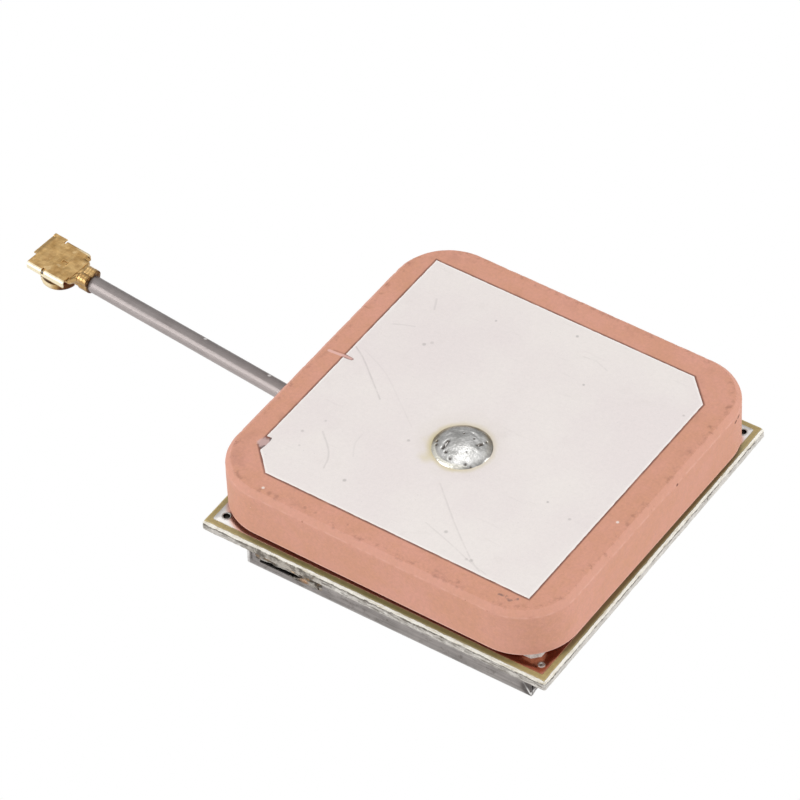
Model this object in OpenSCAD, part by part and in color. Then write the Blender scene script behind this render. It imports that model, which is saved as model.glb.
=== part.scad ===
// Active satellite-navigation antenna module: a ceramic patch on a small
// circuit board with a screening can below and a short coaxial pigtail.
// Millimetres, +Z up, origin under the middle of the board on the can's underside.

/* [Ceramic patch] */
// Side of the square ceramic block
cer_w = 25; // [24:0.1:25]
// Thickness of the ceramic block
cer_t = 3.6; // [3:0.1:5]
// Radius of the block's corners in plan
cer_r = 3.8; // [2:0.1:5]
// Width of the bevel round the upper edge
cer_bevel = 0.36; // [0.2:0.02:0.6]
// Side of the printed silver patch
patch_w = 21.04; // [20:0.02:22]
// Leg of the two corners cut off the silver patch
patch_cut = 1.75; // [1:0.05:2.5]
// Distance of the feed point in front of the middle of the block
feed_back = 2.38; // [1.5:0.02:3.5]

/* [Board] */
// Side of the square circuit board on its upper face
pcb_w = 25; // [25:0.1:26]
// Thickness of the board with its copper
pcb_t = 0.8; // [0.6:0.1:1]
// How far the broken scored edge stands out past the upper edge
score = 0.15; // [0.1:0.05:0.3]
// Bare laminate border round the upper copper
border = 0.4; // [0.35:0.05:0.6]
// Thickness of the foam adhesive pad under the block
pad_t = 0.66; // [0.5:0.02:1]

/* [Screening can] */
// Height of the can
can_h = 1.9; // [1.8:0.05:2.4]
// Left side of the can
can_x0 = -9.7; // [-9.8:0.05:-9.3]
// Right side of the can
can_x1 = 11.2; // [10.8:0.1:11.4]
// Half width of the can front to back
can_y = 12; // [11.6:0.1:12]
// Thickness of the tinplate
can_wall = 0.2; // [0.15:0.05:0.25]

/* [Pigtail] */
// Angle of the cable away from the square direction
lead_yaw = 5.55; // [0:0.05:8]
// Free cable from the board edge to the crimp
lead_free = 19.12; // [15:0.01:28]
// Outside diameter of the cable
lead_d = 1.13; // [1.1:0.01:1.13]

/* [Hidden] */
$fn = 64;
cu = 0.04;                      // copper layer
ag = 0.03;                      // fired silver layer
e = 0.01;
z_pcb = can_h;                  // underside of the board's copper
z_top = can_h + pcb_t;          // upper face of the board's copper
z_gnd = z_top + pad_t;          // underside of the lower silver
z_cer = z_gnd + 0.04;           // underside of the ceramic
z_ag = z_cer + cer_t;           // upper face of the ceramic
cer_at = [0.035, 0.083];        // block is stuck on a little off the board's middle
cer_yaw = -0.6;                 // and a little turned
patch_at = [-0.14, -0.11];      // print offset on the block
vias = [for (x = [-1, 1], y = [-1, 1]) [0.085 + x * 11.555, 0.03 + y * 11.51]];  // corner vias
pin_d = 0.9;
hole_d = 1.2;
z_lead = can_h - lead_d / 2;    // cable axis, cable lies against the board
jr = lead_d / 2;
br = 0.465;                     // braid radius
dr = 0.34;                      // dielectric radius
cr = 0.12;                      // centre conductor radius
px = lead_free + 2.95;          // mating axis of the plug along the cable
plate_z = z_lead + 0.45;        // underside of the plug's top plate
plate_t = 0.12;
barrel_z = 0.22;                // mouth of the plug, which the stiff cable holds just off the surface
dome_r = 1.9;                   // solder dome on the patch
dome_h = 0.48;
dome_s = (dome_r * dome_r + dome_h * dome_h) / (2 * dome_h);
amp_at = [[4.4, -2.377], [-0.6, 1.9]];  // middles of the two amplifier chips
filter_at = [2.65, 1.9];
// Chip parts: middle x, y, angle, length, width, height
caps = [[2.0, -2.377, 0, 1.0, 0.5, 0.5], [1.75, -3.6, 0, 1.0, 0.5, 0.5], [-3.3, 1.9, 0, 1.0, 0.5, 0.5],
    [-1.9, 3.5, 90, 1.0, 0.5, 0.5], [6.8, -3.4, 0, 1.0, 0.5, 0.5], [-6.3, 3.1, 90, 1.0, 0.5, 0.5]];
coils = [[7.0, 1.6, 90, 1.6, 0.8, 0.8], [-4.6, 3.2, 0, 1.6, 0.8, 0.8]];
ress = [[6.9, -0.9, 90, 1.0, 0.5, 0.35], [-1.9, -1.2, 0, 1.0, 0.5, 0.35], [-4.1, -1.6, 90, 1.0, 0.5, 0.35]];
// Printed lines from the feed through the first chip, the filter and the second chip to the cable
trace_runs = [[0.06, -2.377, 1.6, -2.377], [2.4, -2.377, 2.95, -2.377], [2.95, -2.377, 2.95, -1.43],
    [2.95, -1.43, 3.75, -1.43], [5.05, -3.33, 5.65, -3.33], [5.65, -3.33, 5.65, 1.9], [5.65, 1.9, 4.1, 1.9],
    [1.2, 1.9, 0.75, 1.9], [0.75, 1.9, 0.75, 2.85], [0.75, 2.85, 0.05, 2.85],
    [-1.25, 0.95, -2.91, 0.95], [-2.91, 0.95, -2.91, 1.9], [-3.69, 1.9, -5.2, 1.9],
    [-5.2, 1.9, -5.2, -0.25], [-5.2, -0.25, -10.35, -0.25]];
feed = [cer_at[0] + feed_back * sin(cer_yaw) - 0.024, cer_at[1] - feed_back * cos(cer_yaw)];

// ---- shared shapes ----

// Square block with round corners, bevelled above and below, standing on z = 0
module bevel_block(w, r, t, bt, bb) {
    h = w / 2;
    for (q = [0, 90]) rotate([90, 0, q])
        linear_extrude(height = w - 2 * r, center = true)
            polygon([[-h + bb, 0], [h - bb, 0], [h, bb], [h, t - bt], [h - bt, t],
                [-h + bt, t], [-h, t - bt], [-h, bb]]);
    for (x = [-1, 1], y = [-1, 1]) translate([x * (h - r), y * (h - r), 0])
        rotate_extrude()
            polygon([[0, 0], [r - bb, 0], [r, bb], [r, t - bt], [r - bt, t], [0, t]]);
}

// Flat square with round corners
module round_square(w, r) {
    square([w - 2 * r, w], center = true);
    square([w, w - 2 * r], center = true);
    for (x = [-1, 1], y = [-1, 1]) translate([x * (w / 2 - r), y * (w / 2 - r)]) circle(r);
}

// Place things in the block's own frame
module on_block() { translate([cer_at[0], cer_at[1], 0]) rotate([0, 0, cer_yaw]) children(); }

// Place things along the cable: +X runs from the board edge out to the plug
module on_lead() { translate([-pcb_w / 2, 0, 0]) rotate([0, 0, 180 - lead_yaw]) children(); }

// Round bar along the cable axis
module lead_bar(x0, x1, r) { translate([x0, 0, z_lead]) rotate([0, 90, 0]) cylinder(h = x1 - x0, r = r); }

// Spindle-shaped bead along X
module bead(l, r) {
    n = 8;
    rotate([0, 90, 0]) rotate_extrude()
        polygon(concat([[0, -l / 2]], [for (i = [1 : n - 1]) [r * sin(180 * i / n), -l / 2 * cos(180 * i / n)]], [[0, l / 2]]));
}

// Spherical cap standing on z = 0
module cap(r, h) {
    s = (r * r + h * h) / (2 * h);
    intersection() {
        translate([0, 0, h - s]) sphere(s);
        translate([-r - 1, -r - 1, 0]) cube([2 * r + 2, 2 * r + 2, h + 1]);
    }
}

// Folded tray: outside of the can, or the hollow inside it
module tray(x0, x1, y, z0, z1, r) {
    intersection() {
        translate([0, y + 1, 0]) rotate([90, 0, 0]) linear_extrude(height = 2 * y + 2) {
            translate([x0, z0 + r]) square([x1 - x0, z1 - z0 - r]);
            translate([x0 + r, z0]) square([x1 - x0 - 2 * r, z1 - z0]);
            for (x = [x0 + r, x1 - r]) translate([x, z0 + r]) circle(r);
        }
        translate([x0 - 1, 0, 0]) rotate([90, 0, 90]) linear_extrude(height = x1 - x0 + 2) {
            translate([-y, z0 + r]) square([2 * y, z1 - z0 - r]);
            translate([-y + r, z0]) square([2 * y - 2 * r, z1 - z0]);
            for (s = [-1, 1]) translate([s * (y - r), z0 + r]) circle(r);
        }
    }
}

// ---- antenna ----

module ceramic_block() color([0.84, 0.61, 0.51])
    difference() {
        translate([0, 0, z_cer]) on_block() bevel_block(cer_w, cer_r, cer_t, cer_bevel, 0.12);
        translate([feed[0], feed[1], z_cer - 1]) cylinder(h = cer_t + 2, d = hole_d);
    }

// Fired silver with two cut corners, a trimmed slot and a trimmed nick on the left edge
module top_electrode() color([0.92, 0.88, 0.87])
    translate([0, 0, z_ag]) difference() {
        on_block() translate([patch_at[0], patch_at[1], 0]) linear_extrude(height = ag)
            difference() {
                h = patch_w / 2;
                polygon([[-h, h], [-h, -h + patch_cut], [-h + patch_cut, -h], [h, -h],
                    [h, h - patch_cut], [h - patch_cut, h]]);
                translate([-h - 1, 0.22]) square([1.66, 0.26]);
                polygon([[-h - 0.1, -h + patch_cut - 0.5], [-h + 0.34, -h + patch_cut - 0.5],
                    [-h + 0.42, -h + patch_cut + 0.4], [-h + 0.36, -h + patch_cut + 0.86], [-h - 0.1, -h + patch_cut + 0.84]]);
            }
        translate([feed[0], feed[1], -1]) cylinder(h = 2, d = hole_d);
    }

module ground_electrode() color([0.86, 0.84, 0.82])
    translate([0, 0, z_gnd]) difference() {
        on_block() linear_extrude(height = 0.04) round_square(cer_w - 2.6, cer_r - 1.3);
        translate([feed[0], feed[1], -1]) cylinder(h = 2, d = 3.2);
    }

module feed_pin() color([0.8, 0.78, 0.72])
    translate([feed[0], feed[1], 0]) {
        translate([0, 0, z_pcb - 0.55]) cylinder(h = z_ag + ag - z_pcb + 0.65, d = pin_d);
        translate([0, 0, z_ag + ag]) cylinder(h = 0.25, d = 2.1);
    }

// Low solder dome over the pin's head
module feed_solder() color([0.72, 0.73, 0.74])
    translate([feed[0], feed[1], z_ag + ag]) rotate_extrude()
        polygon(concat([[0, 0.25], [1.05, 0.25], [1.05, 0]],
            [for (i = [0 : 8]) let (r = dome_r * (1 - i / 8)) [r, sqrt(dome_s * dome_s - r * r) - dome_s + dome_h]]));

// Foam pad cut by hand, its front right corner the least trimmed
module adhesive_pad() color([0.93, 0.92, 0.9])
    translate([0, 0, z_top]) difference() {
        on_block() linear_extrude(height = pad_t) {
            h = 11.375 * cer_w / 25;
            polygon([[h, -h + 0.45], [h, h - 1.6], [h - 1.6, h], [-h + 1.3, h], [-h, h - 1.3],
                [-h, -h + 1.5], [-h + 1.5, -h], [h - 0.45, -h]]);
        }
        translate([feed[0], feed[1], -1]) cylinder(h = 4, d = 3.4);
    }

// ---- board ----

module scored(w, t) {
    h = w / 2;
    rotate([90, 0, 0]) linear_extrude(height = w + 2, center = true)
        polygon([[-h, 0], [h, 0], [h + score, t * 0.35], [h + score, t * 0.65], [h, t],
            [-h, t], [-h - score, t * 0.65], [-h - score, t * 0.35]]);
}

module board() color([0.62, 0.56, 0.38])
    difference() {
        translate([0, 0, z_pcb + cu]) intersection() {
            scored(pcb_w, pcb_t - 2 * cu);
            rotate([0, 0, 90]) scored(pcb_w, pcb_t - 2 * cu);
        }
        translate([feed[0], feed[1], 0]) cylinder(h = 9, d = hole_d);
        for (v = vias) translate([v[0], v[1], 0]) cylinder(h = 9, d = 0.6);
    }

module top_ground_plane() color([0.8, 0.8, 0.8])
    difference() {
        translate([-pcb_w / 2 + border, -pcb_w / 2 + border, z_top - cu])
            cube([pcb_w - 2 * border, pcb_w - 2 * border, cu]);
        translate([feed[0], feed[1], 0]) cylinder(h = 9, d = 2.6);
        for (v = vias) translate([v[0], v[1], 0]) cylinder(h = 9, d = 0.6);
    }

// Ground copper below, open round the signal path and the cable's pad
module bottom_ground_plane() color([0.78, 0.74, 0.66])
    difference() {
        translate([-pcb_w / 2 + 0.2, -pcb_w / 2 + 0.2, z_pcb])
            cube([pcb_w - 0.4, pcb_w - 0.4, cu]);
        translate([-7.6, -4.6, 0]) cube([15.6, 9.2, 9]);
        translate([-10.75, -1.2, 0]) cube([4, 1.9, 9]);
        for (v = vias) translate([v[0], v[1], 0]) cylinder(h = 9, d = 0.6);
    }

// Narrow printed lines on the underside, with a pad under every terminal
module strip(a, w) {
    x0 = min(a[0], a[2]); x1 = max(a[0], a[2]); y0 = min(a[1], a[3]); y1 = max(a[1], a[3]);
    translate([x0 - w / 2, y0 - w / 2, z_pcb]) cube([x1 - x0 + w, y1 - y0 + w, cu]);
}
module land(x, y, lx, ly) { translate([x - lx / 2, y - ly / 2, z_pcb]) cube([lx, ly, cu]); }
module signal_traces() color([0.78, 0.6, 0.4])
    difference() {
        union() {
            for (a = trace_runs) strip(a, 0.3);
            translate([feed[0], feed[1], z_pcb]) cylinder(h = cu, d = 2);
            land(-9.95, -0.25, 1.1, 0.8);
            for (c = concat(caps, coils, ress), s = [-1, 1])
                translate([c[0], c[1], 0]) rotate([0, 0, c[2]]) land(s * c[3] * 0.4, 0, c[3] * 0.3, c[4] + 0.1);
            for (p = amp_at, s = [-1, 1], x = [-0.65, 0, 0.65]) land(p[0] + x, p[1] + s * 0.95, 0.36, 0.42);
            for (s = [-1, 1], y = [-1, 0, 1]) land(filter_at[0] + s * 1.35, filter_at[1] + y, 0.5, 0.6);
        }
        translate([feed[0], feed[1], 0]) cylinder(h = 9, d = hole_d);
    }

module corner_vias() color([0.75, 0.75, 0.74])
    for (v = vias) translate([v[0], v[1], z_pcb])
        difference() {
            cylinder(h = pcb_t, d = 0.6);
            translate([0, 0, -1]) cylinder(h = pcb_t + 2, d = 0.44);
        }

module pin_solder() color([0.72, 0.73, 0.74])
    difference() {
        translate([feed[0], feed[1], z_pcb]) mirror([0, 0, 1]) cap(0.95, 0.5);
        translate([feed[0], feed[1], 0]) cylinder(h = 9, d = pin_d);
    }

// ---- screening can ----

module shield_can() color([0.6, 0.58, 0.57])
    difference() {
        tray(can_x0, can_x1, can_y, 0, can_h, can_wall + 0.05);
        tray(can_x0 + can_wall, can_x1 - can_wall, can_y - can_wall, can_wall, can_h + 1, 0.05);
        // open folded corners
        for (x = [can_x0, can_x1], y = [-can_y, can_y]) translate([x, y, 0.5])
            translate([-0.24, -0.24, 0]) cube([0.48, 0.48, can_h]);
        // cut-out in the front wall that the solder runs into
        translate([-8.7, -can_y - 1, 0.62]) cube([4.3, 1.5, can_h]);
        // way out for the signal line at the left wall
        translate([can_x0 - 1, -0.95, 1.25]) cube([1.5, 1.4, can_h]);
    }

// Solder run round the can's foot, with the bead in the front cut-out
module fillet_run(l) {
    rotate([90, 0, 90]) linear_extrude(height = l)
        polygon([[0, 0], [0.34, 0], [0.2, -0.14], [0.07, -0.36], [0, -0.42]]);
}
module can_solder() color([0.75, 0.75, 0.75])
    union() {
        translate([can_x0 + 5.4, -can_y, z_pcb]) mirror([0, 1, 0]) fillet_run(can_x1 - can_x0 - 5.9);
        translate([can_x0 + 0.5, can_y, z_pcb]) fillet_run(can_x1 - can_x0 - 1);
        translate([can_x1, can_y - 0.5, z_pcb]) rotate([0, 0, -90]) fillet_run(2 * can_y - 1);
        translate([can_x0, -can_y + 0.5, z_pcb]) rotate([0, 0, 90]) fillet_run(can_y - 2);
        translate([can_x0, 1.2, z_pcb]) rotate([0, 0, 90]) fillet_run(can_y - 1.7);
        difference() {
            translate([-6.6, -can_y - 0.05, z_pcb - 0.25]) bead(4.1, 0.6);
            translate([-12, -can_y - 5, z_pcb]) cube([12, 10, 5]);
        }
    }

// ---- amplifier parts inside the can ----

module amplifier_bodies() color([0.13, 0.13, 0.14])
    for (p = amp_at) translate([p[0], p[1], z_pcb - 0.95]) translate([-1, -0.625, 0]) cube([2, 1.25, 0.85]);

// Gull-wing leads, three a side
module amplifier_leads() color([0.75, 0.75, 0.75])
    for (p = amp_at, s = [-1, 1], x = [-0.65, 0, 0.65]) translate([p[0] + x, p[1], z_pcb])
        mirror([0, s < 0 ? 1 : 0, 0]) rotate([90, 0, 90]) linear_extrude(height = 0.22, center = true)
            polygon([[0.625, -0.55], [0.86, -0.55], [0.86, -0.12], [1.08, -0.12], [1.08, 0], [0.74, 0], [0.74, -0.43], [0.625, -0.43]]);

module filter_body() color([0.88, 0.87, 0.83])
    difference() {
        translate([filter_at[0] - 1.5, filter_at[1] - 1.5, z_pcb - 1.0]) cube([3, 3, 1.0]);
        translate([filter_at[0] - 1.3, filter_at[1] - 1.3, z_pcb - 1.1]) cube([2.6, 2.6, 0.2]);
    }

module filter_lid() color([0.8, 0.72, 0.45])
    translate([filter_at[0] - 1.3, filter_at[1] - 1.3, z_pcb - 1.1]) cube([2.6, 2.6, 0.2]);

// Chip parts: ceramic or ferrite middle and plated ends
module chip_middle(c) { translate([c[0], c[1], z_pcb - c[5] / 2]) rotate([0, 0, c[2]]) cube([c[3] * 0.56, c[4], c[5]], center = true); }
module chip_ends(c) { for (s = [-1, 1]) translate([c[0], c[1], z_pcb - c[5] / 2]) rotate([0, 0, c[2]])
    translate([s * c[3] * 0.39, 0, 0]) cube([c[3] * 0.22, c[4], c[5]], center = true); }

module capacitor_bodies() color([0.72, 0.58, 0.42]) for (c = caps) chip_middle(c);
module inductor_bodies() color([0.3, 0.32, 0.36]) for (c = coils) chip_middle(c);
module resistor_bodies() color([0.12, 0.12, 0.13]) for (c = ress) chip_middle(c);
module chip_end_caps() color([0.8, 0.8, 0.8]) for (c = concat(caps, coils, ress)) chip_ends(c);

// ---- coaxial pigtail ----

module coax_jacket() color([0.56, 0.53, 0.53]) on_lead()
    difference() { lead_bar(-0.75, px - 2.07, jr); lead_bar(-2, px, br); }

module coax_braid() color([0.75, 0.74, 0.72]) on_lead()
    difference() { lead_bar(-1.65, px - 1.47, br); lead_bar(-3, px, dr); }

module coax_dielectric() color([0.95, 0.95, 0.93]) on_lead()
    difference() { lead_bar(-2.1, px - 0.72, dr); lead_bar(-4, px + 1, cr); }

module coax_core() color([0.82, 0.74, 0.62]) on_lead() lead_bar(-2.6, px - 0.3, cr);

// Solder that holds the braid down on the ground copper
module braid_solder() color([0.74, 0.74, 0.75]) on_lead()
    difference() {
        union() {
            translate([-1.62, 0, 0]) rotate([90, 0, 90]) linear_extrude(height = 0.8)
                polygon([[-1.15, z_pcb], [-0.75, z_pcb - 0.2], [-0.6, z_lead], [0.6, z_lead], [0.75, z_pcb - 0.2], [1.15, z_pcb]]);
            lead_bar(-1.62, -0.82, 0.6);
        }
        lead_bar(-3, 1, br);
        translate([-4, -2, z_pcb]) cube([8, 4, 3]);
    }

// Solder that joins the centre conductor to its pad
module core_solder() color([0.74, 0.74, 0.75]) on_lead()
    difference() {
        translate([-2.46, 0, z_lead + 0.2]) sphere(0.42);
        lead_bar(-4, 0, cr);
        lead_bar(-2.1, 0, dr);
        translate([-4, -2, z_pcb]) cube([8, 4, 3]);
    }

// ---- plug ----

// Stamped shell: top plate, folded sides, sprung barrel and the two crimps
module plug_shell() color([0.76, 0.6, 0.34]) on_lead()
    difference() {
        union() {
            translate([px - 1.72, -1.57, plate_z]) cube([3.5, 2.03, plate_t]);
            translate([px - 1.72, 0.4, plate_z]) cube([3.2, 1.17, plate_t]);
            translate([px + 1.7, -0.4, plate_z - 0.03]) cube([0.15, 0.86, plate_t]);
            translate([px + 0.76, -1.66, plate_z]) cube([1.02, 0.3, plate_t]);
            // folded sides, each in two tabs
            for (s = [-1, 1]) {
                translate([px - 1.6, s * 1.51 - 0.06, plate_z - 0.6]) cube([1.66, 0.12, 0.6 + plate_t]);
                translate([px + 0.34, s * 1.51 - 0.06, plate_z - 0.52]) cube([1.1, 0.12, 0.52 + plate_t]);
            }
            // barrel
            translate([px, 0, barrel_z]) cylinder(h = plate_z - barrel_z + e, r = 1.26);
            translate([px, 0, barrel_z + 0.12]) cylinder(h = 0.22, r = 1.32);
            // neck, and the crimp with its two wings rolled in on top
            translate([px - 2.2, -0.62, plate_z - 0.4]) cube([0.6, 1.24, 0.4 + plate_t]);
            lead_bar(px - 2.95, px - 2.1, 0.7);
            for (s = [-1, 1]) translate([0, s * 0.33, 0.4]) lead_bar(px - 2.95, px - 2.1, 0.36);
            lead_bar(px - 2.15, px - 1.55, 0.6);
        }
        // mating bore
        translate([px, 0, -1]) cylinder(h = plate_z + 1, r = 1.04);
        // slots that let the barrel spring
        for (q = [60, 180, 300]) translate([px, 0, -1]) rotate([0, 0, q]) translate([0.6, -0.09, 0]) cube([1.2, 0.18, 1.56]);
        // way in for the cable
        lead_bar(px - 4, px - 2.07, jr);
        lead_bar(px - 2.08, px - 1.47, br);
        lead_bar(px - 1.5, px - 0.5, dr + 0.02);
        // open seams under the crimps
        translate([px - 3.1, -0.08, 0]) cube([1.7, 0.16, z_lead]);
        // shallow pressed window in the plate, and a nick in its far edge
        translate([px - 0.75, -0.1, plate_z + 0.06]) cube([0.45, 0.3, 1]);
        translate([px + 0.6, -2, plate_z - 1]) cube([0.16, 0.62, 2]);
    }

module plug_insulator() color([0.9, 0.89, 0.85]) on_lead()
    difference() {
        translate([px, 0, 0.78]) cylinder(h = plate_z - 0.78, r = 1.04);
        lead_bar(px - 3, px - 0.72, dr);
        translate([px - 0.72, -0.33, 0]) cube([1.1, 0.66, z_lead + 0.2]);
        translate([px, 0, 0]) cylinder(h = z_lead + 0.2, r = 0.42);
    }

module plug_contact() color([0.8, 0.64, 0.36]) on_lead()
    difference() {
        union() {
            translate([px, 0, 0.3]) cylinder(h = z_lead - 0.3, r = 0.42);
            translate([px - 0.71, -0.3, z_lead - 0.3]) cube([0.71, 0.6, 0.3]);
        }
        translate([px, 0, 0]) cylinder(h = 1, r = 0.27);
        translate([px - 1, -0.05, 0]) cube([2, 0.1, 0.8]);
        lead_bar(px - 3, px - 0.3, cr);
    }

ceramic_block();
top_electrode();
ground_electrode();
feed_pin();
feed_solder();
adhesive_pad();
board();
top_ground_plane();
bottom_ground_plane();
signal_traces();
corner_vias();
pin_solder();
shield_can();
can_solder();
amplifier_bodies();
amplifier_leads();
filter_body();
filter_lid();
capacitor_bodies();
inductor_bodies();
resistor_bodies();
chip_end_caps();
coax_jacket();
coax_braid();
coax_dielectric();
coax_core();
braid_solder();
core_solder();
plug_shell();
plug_insulator();
plug_contact();
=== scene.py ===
import math

import bmesh
import bpy
import numpy as np
from mathutils import Matrix


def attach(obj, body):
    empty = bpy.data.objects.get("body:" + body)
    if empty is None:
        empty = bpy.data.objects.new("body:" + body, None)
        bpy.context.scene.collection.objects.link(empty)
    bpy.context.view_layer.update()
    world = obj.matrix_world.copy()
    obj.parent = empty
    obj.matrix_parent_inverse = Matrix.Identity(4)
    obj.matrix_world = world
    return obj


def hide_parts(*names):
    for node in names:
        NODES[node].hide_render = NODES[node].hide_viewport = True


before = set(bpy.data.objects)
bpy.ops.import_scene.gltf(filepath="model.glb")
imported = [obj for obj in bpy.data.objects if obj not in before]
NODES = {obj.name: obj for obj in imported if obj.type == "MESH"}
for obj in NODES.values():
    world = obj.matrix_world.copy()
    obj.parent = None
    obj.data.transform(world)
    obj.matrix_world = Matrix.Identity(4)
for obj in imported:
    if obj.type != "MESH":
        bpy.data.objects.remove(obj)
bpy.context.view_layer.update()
scene = bpy.context.scene

# All shapes below are written in millimetres in the part's own frame and scaled once.
MM = 0.001

# ---------------------------------------------------------------- camera
cam_data = bpy.data.cameras.new("camera")
cam_data.sensor_width = 36.0
cam_data.lens = 249.975
cam_data.clip_start = 0.01
cam_data.clip_end = 20.0
cam = bpy.data.objects.new("camera", cam_data)
scene.collection.objects.link(cam)
RIGHT = np.array((0.828405, 0.559048, -0.034797))
DOWN = np.array((0.377104, -0.602577, -0.703345))
FWD = np.array((-0.414171, 0.569532, -0.709997))
CAM = np.array((136.417, -196.068, 250.243))
FWD = FWD - (RIGHT + DOWN) * 0.5 / 5555.0                  # half a pixel, from pixel middles to pixel corners
FWD /= np.linalg.norm(FWD)
RIGHT = RIGHT - FWD * (RIGHT @ FWD)
RIGHT /= np.linalg.norm(RIGHT)
DOWN = np.cross(FWD, RIGHT)
cam.matrix_world = Matrix([
    [RIGHT[i], -DOWN[i], -FWD[i], CAM[i] * MM] for i in range(3)
] + [[0, 0, 0, 1]])
scene.camera = cam

# ---------------------------------------------------------------- noise for shapes
_rng = np.random.RandomState(11)
_perm = np.concatenate([_rng.permutation(256)] * 3)
_grad = _rng.normal(size=(256, 3))
_grad /= np.linalg.norm(_grad, axis=1)[:, None]


def noise(P):
    """Smooth gradient noise, about -1 to 1, one value per row of P."""
    P = np.atleast_2d(np.asarray(P, float))
    i = np.floor(P).astype(int)
    f = P - i
    i &= 255
    u = f * f * f * (f * (f * 6 - 15) + 10)
    out = np.zeros(len(P))
    for dx in (0, 1):
        for dy in (0, 1):
            for dz in (0, 1):
                h = _perm[_perm[_perm[(i[:, 0] + dx) & 255] + ((i[:, 1] + dy) & 255)] + ((i[:, 2] + dz) & 255)]
                d = ((f - (dx, dy, dz)) * _grad[h]).sum(1)
                w = (u[:, 0] if dx else 1 - u[:, 0]) * (u[:, 1] if dy else 1 - u[:, 1]) * (u[:, 2] if dz else 1 - u[:, 2])
                out += w * d
    return out * 1.7


def fbm(P, octaves=3, gain=0.5):
    P = np.atleast_2d(np.asarray(P, float))
    out, a = 0.0, 1.0
    for k in range(octaves):
        out = out + a * noise(P * 2 ** k + 17.3 * k)
        a *= gain
    return out


def step(x, a, b):
    t = np.clip((np.asarray(x, float) - a) / (b - a), 0, 1)
    return t * t * (3 - 2 * t)


# ---------------------------------------------------------------- mesh helpers
def piece(name, V, F, mat, nodes=(), sharp=40.0, mats=None, pick=None):
    """Makes one piece from millimetre points and faces, rides it on the body and gives it its material."""
    bm = bmesh.new()
    vs = [bm.verts.new(tuple(float(c) for c in v)) for v in V]
    for f in F:
        f = [k for n, k in enumerate(f) if k != f[n - 1]]
        if len(set(f)) < 3:
            continue
        try:
            bm.faces.new([vs[k] for k in f])
        except ValueError:
            pass
    bmesh.ops.remove_doubles(bm, verts=bm.verts, dist=1e-5)
    loose = [v for v in bm.verts if not v.link_faces]
    bmesh.ops.delete(bm, geom=loose, context="VERTS")
    bmesh.ops.recalc_face_normals(bm, faces=bm.faces)
    me = bpy.data.meshes.new(name)
    bm.to_mesh(me)
    bm.free()
    me.transform(Matrix.Scale(MM, 4))
    me.polygons.foreach_set("use_smooth", [True] * len(me.polygons))
    me.set_sharp_from_angle(angle=math.radians(sharp))
    me.update()
    ob = bpy.data.objects.new(name, me)
    scene.collection.objects.link(ob)
    me.materials.append(mat)
    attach(ob, "root")
    if nodes:
        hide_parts(*nodes)
    return ob


def normals(V, F):
    """Outward vertex normals of a closed mesh."""
    bm = bmesh.new()
    vs = [bm.verts.new(tuple(float(c) for c in v)) for v in V]
    for f in F:
        if len(set(f)) >= 3:
            try:
                bm.faces.new([vs[k] for k in f])
            except ValueError:
                pass
    bmesh.ops.recalc_face_normals(bm, faces=bm.faces)
    bm.normal_update()
    out = np.array([tuple(v.normal) for v in vs])
    bm.free()
    return out


class Build:
    """Collects points and faces of one piece."""

    def __init__(self):
        self.V, self.F = [], []

    def add(self, V, F):
        o = len(self.V)
        self.V += [tuple(v) for v in V]
        self.F += [tuple(k + o for k in f) for f in F]

    def arrays(self):
        return np.array(self.V, float), self.F


def loft(rings, wrap=False, cap0=False, cap1=False):
    """Skins a list of closed rings; wrap joins the last ring to the first, caps are fans."""
    n, R = len(rings[0]), len(rings)
    V = np.vstack(rings)
    F = []
    for i in range(R if wrap else R - 1):
        a, b = i * n, ((i + 1) % R) * n
        for j in range(n):
            k = (j + 1) % n
            F.append((a + j, a + k, b + k, b + j))
    for on, ring in ((cap0, 0), (cap1, R - 1)):
        if on:
            c = len(V)
            V = np.vstack([V, rings[ring].mean(0)])
            F += [(ring * n + j, ring * n + (j + 1) % n, c) for j in range(n)]
    return V, F


def rsq(w, r, ns, na, h=None):
    """Rounded rectangle, anticlockwise, with the same count of points for every size."""
    hx, hy = w / 2, (h or w) / 2
    pts = []
    for q in range(4):
        a = math.pi / 2 * q
        sx, sy = (1, -1, -1, 1)[q], (1, 1, -1, -1)[q]
        nx, ny = (1, -1, -1, 1)[(q + 1) % 4], (1, 1, -1, -1)[(q + 1) % 4]
        t = a + math.pi / 2 * np.arange(na) / na
        c = np.array((sx * (hx - r), sy * (hy - r)))
        pts.append(c + r * np.stack([np.cos(t), np.sin(t)], 1))
        e = np.array((math.cos(a + math.pi / 2), math.sin(a + math.pi / 2)))
        p0, p1 = c + r * e, np.array((nx * (hx - r), ny * (hy - r))) + r * e
        s = (np.arange(ns) / ns)[:, None]
        pts.append(p0 * (1 - s) + p1 * s)
    return np.vstack(pts)


def at(P2, z):
    return np.column_stack([P2, np.full(len(P2), z)])


def circle(c, r, n, z, start=0.0):
    t = start + 2 * math.pi * np.arange(n) / n
    return np.column_stack([c[0] + r * np.cos(t), c[1] + r * np.sin(t), np.full(n, z)])


def dense(poly, h):
    """Adds points along a closed polygon so that none is further than h from the next."""
    poly = np.asarray(poly, float)
    out = []
    for a, b in zip(poly, np.roll(poly, -1, 0)):
        n = max(1, int(math.ceil(np.linalg.norm(b - a) / h)))
        out.append(a + (b - a) * (np.arange(n) / n)[:, None])
    return np.vstack(out)


def out2(P):
    """Outward 2-D normals of an anticlockwise closed line."""
    t = np.roll(P, -1, 0) - np.roll(P, 1, 0)
    n = np.column_stack([t[:, 1], -t[:, 0]])
    return n / np.maximum(np.linalg.norm(n, axis=1), 1e-9)[:, None]


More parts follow.
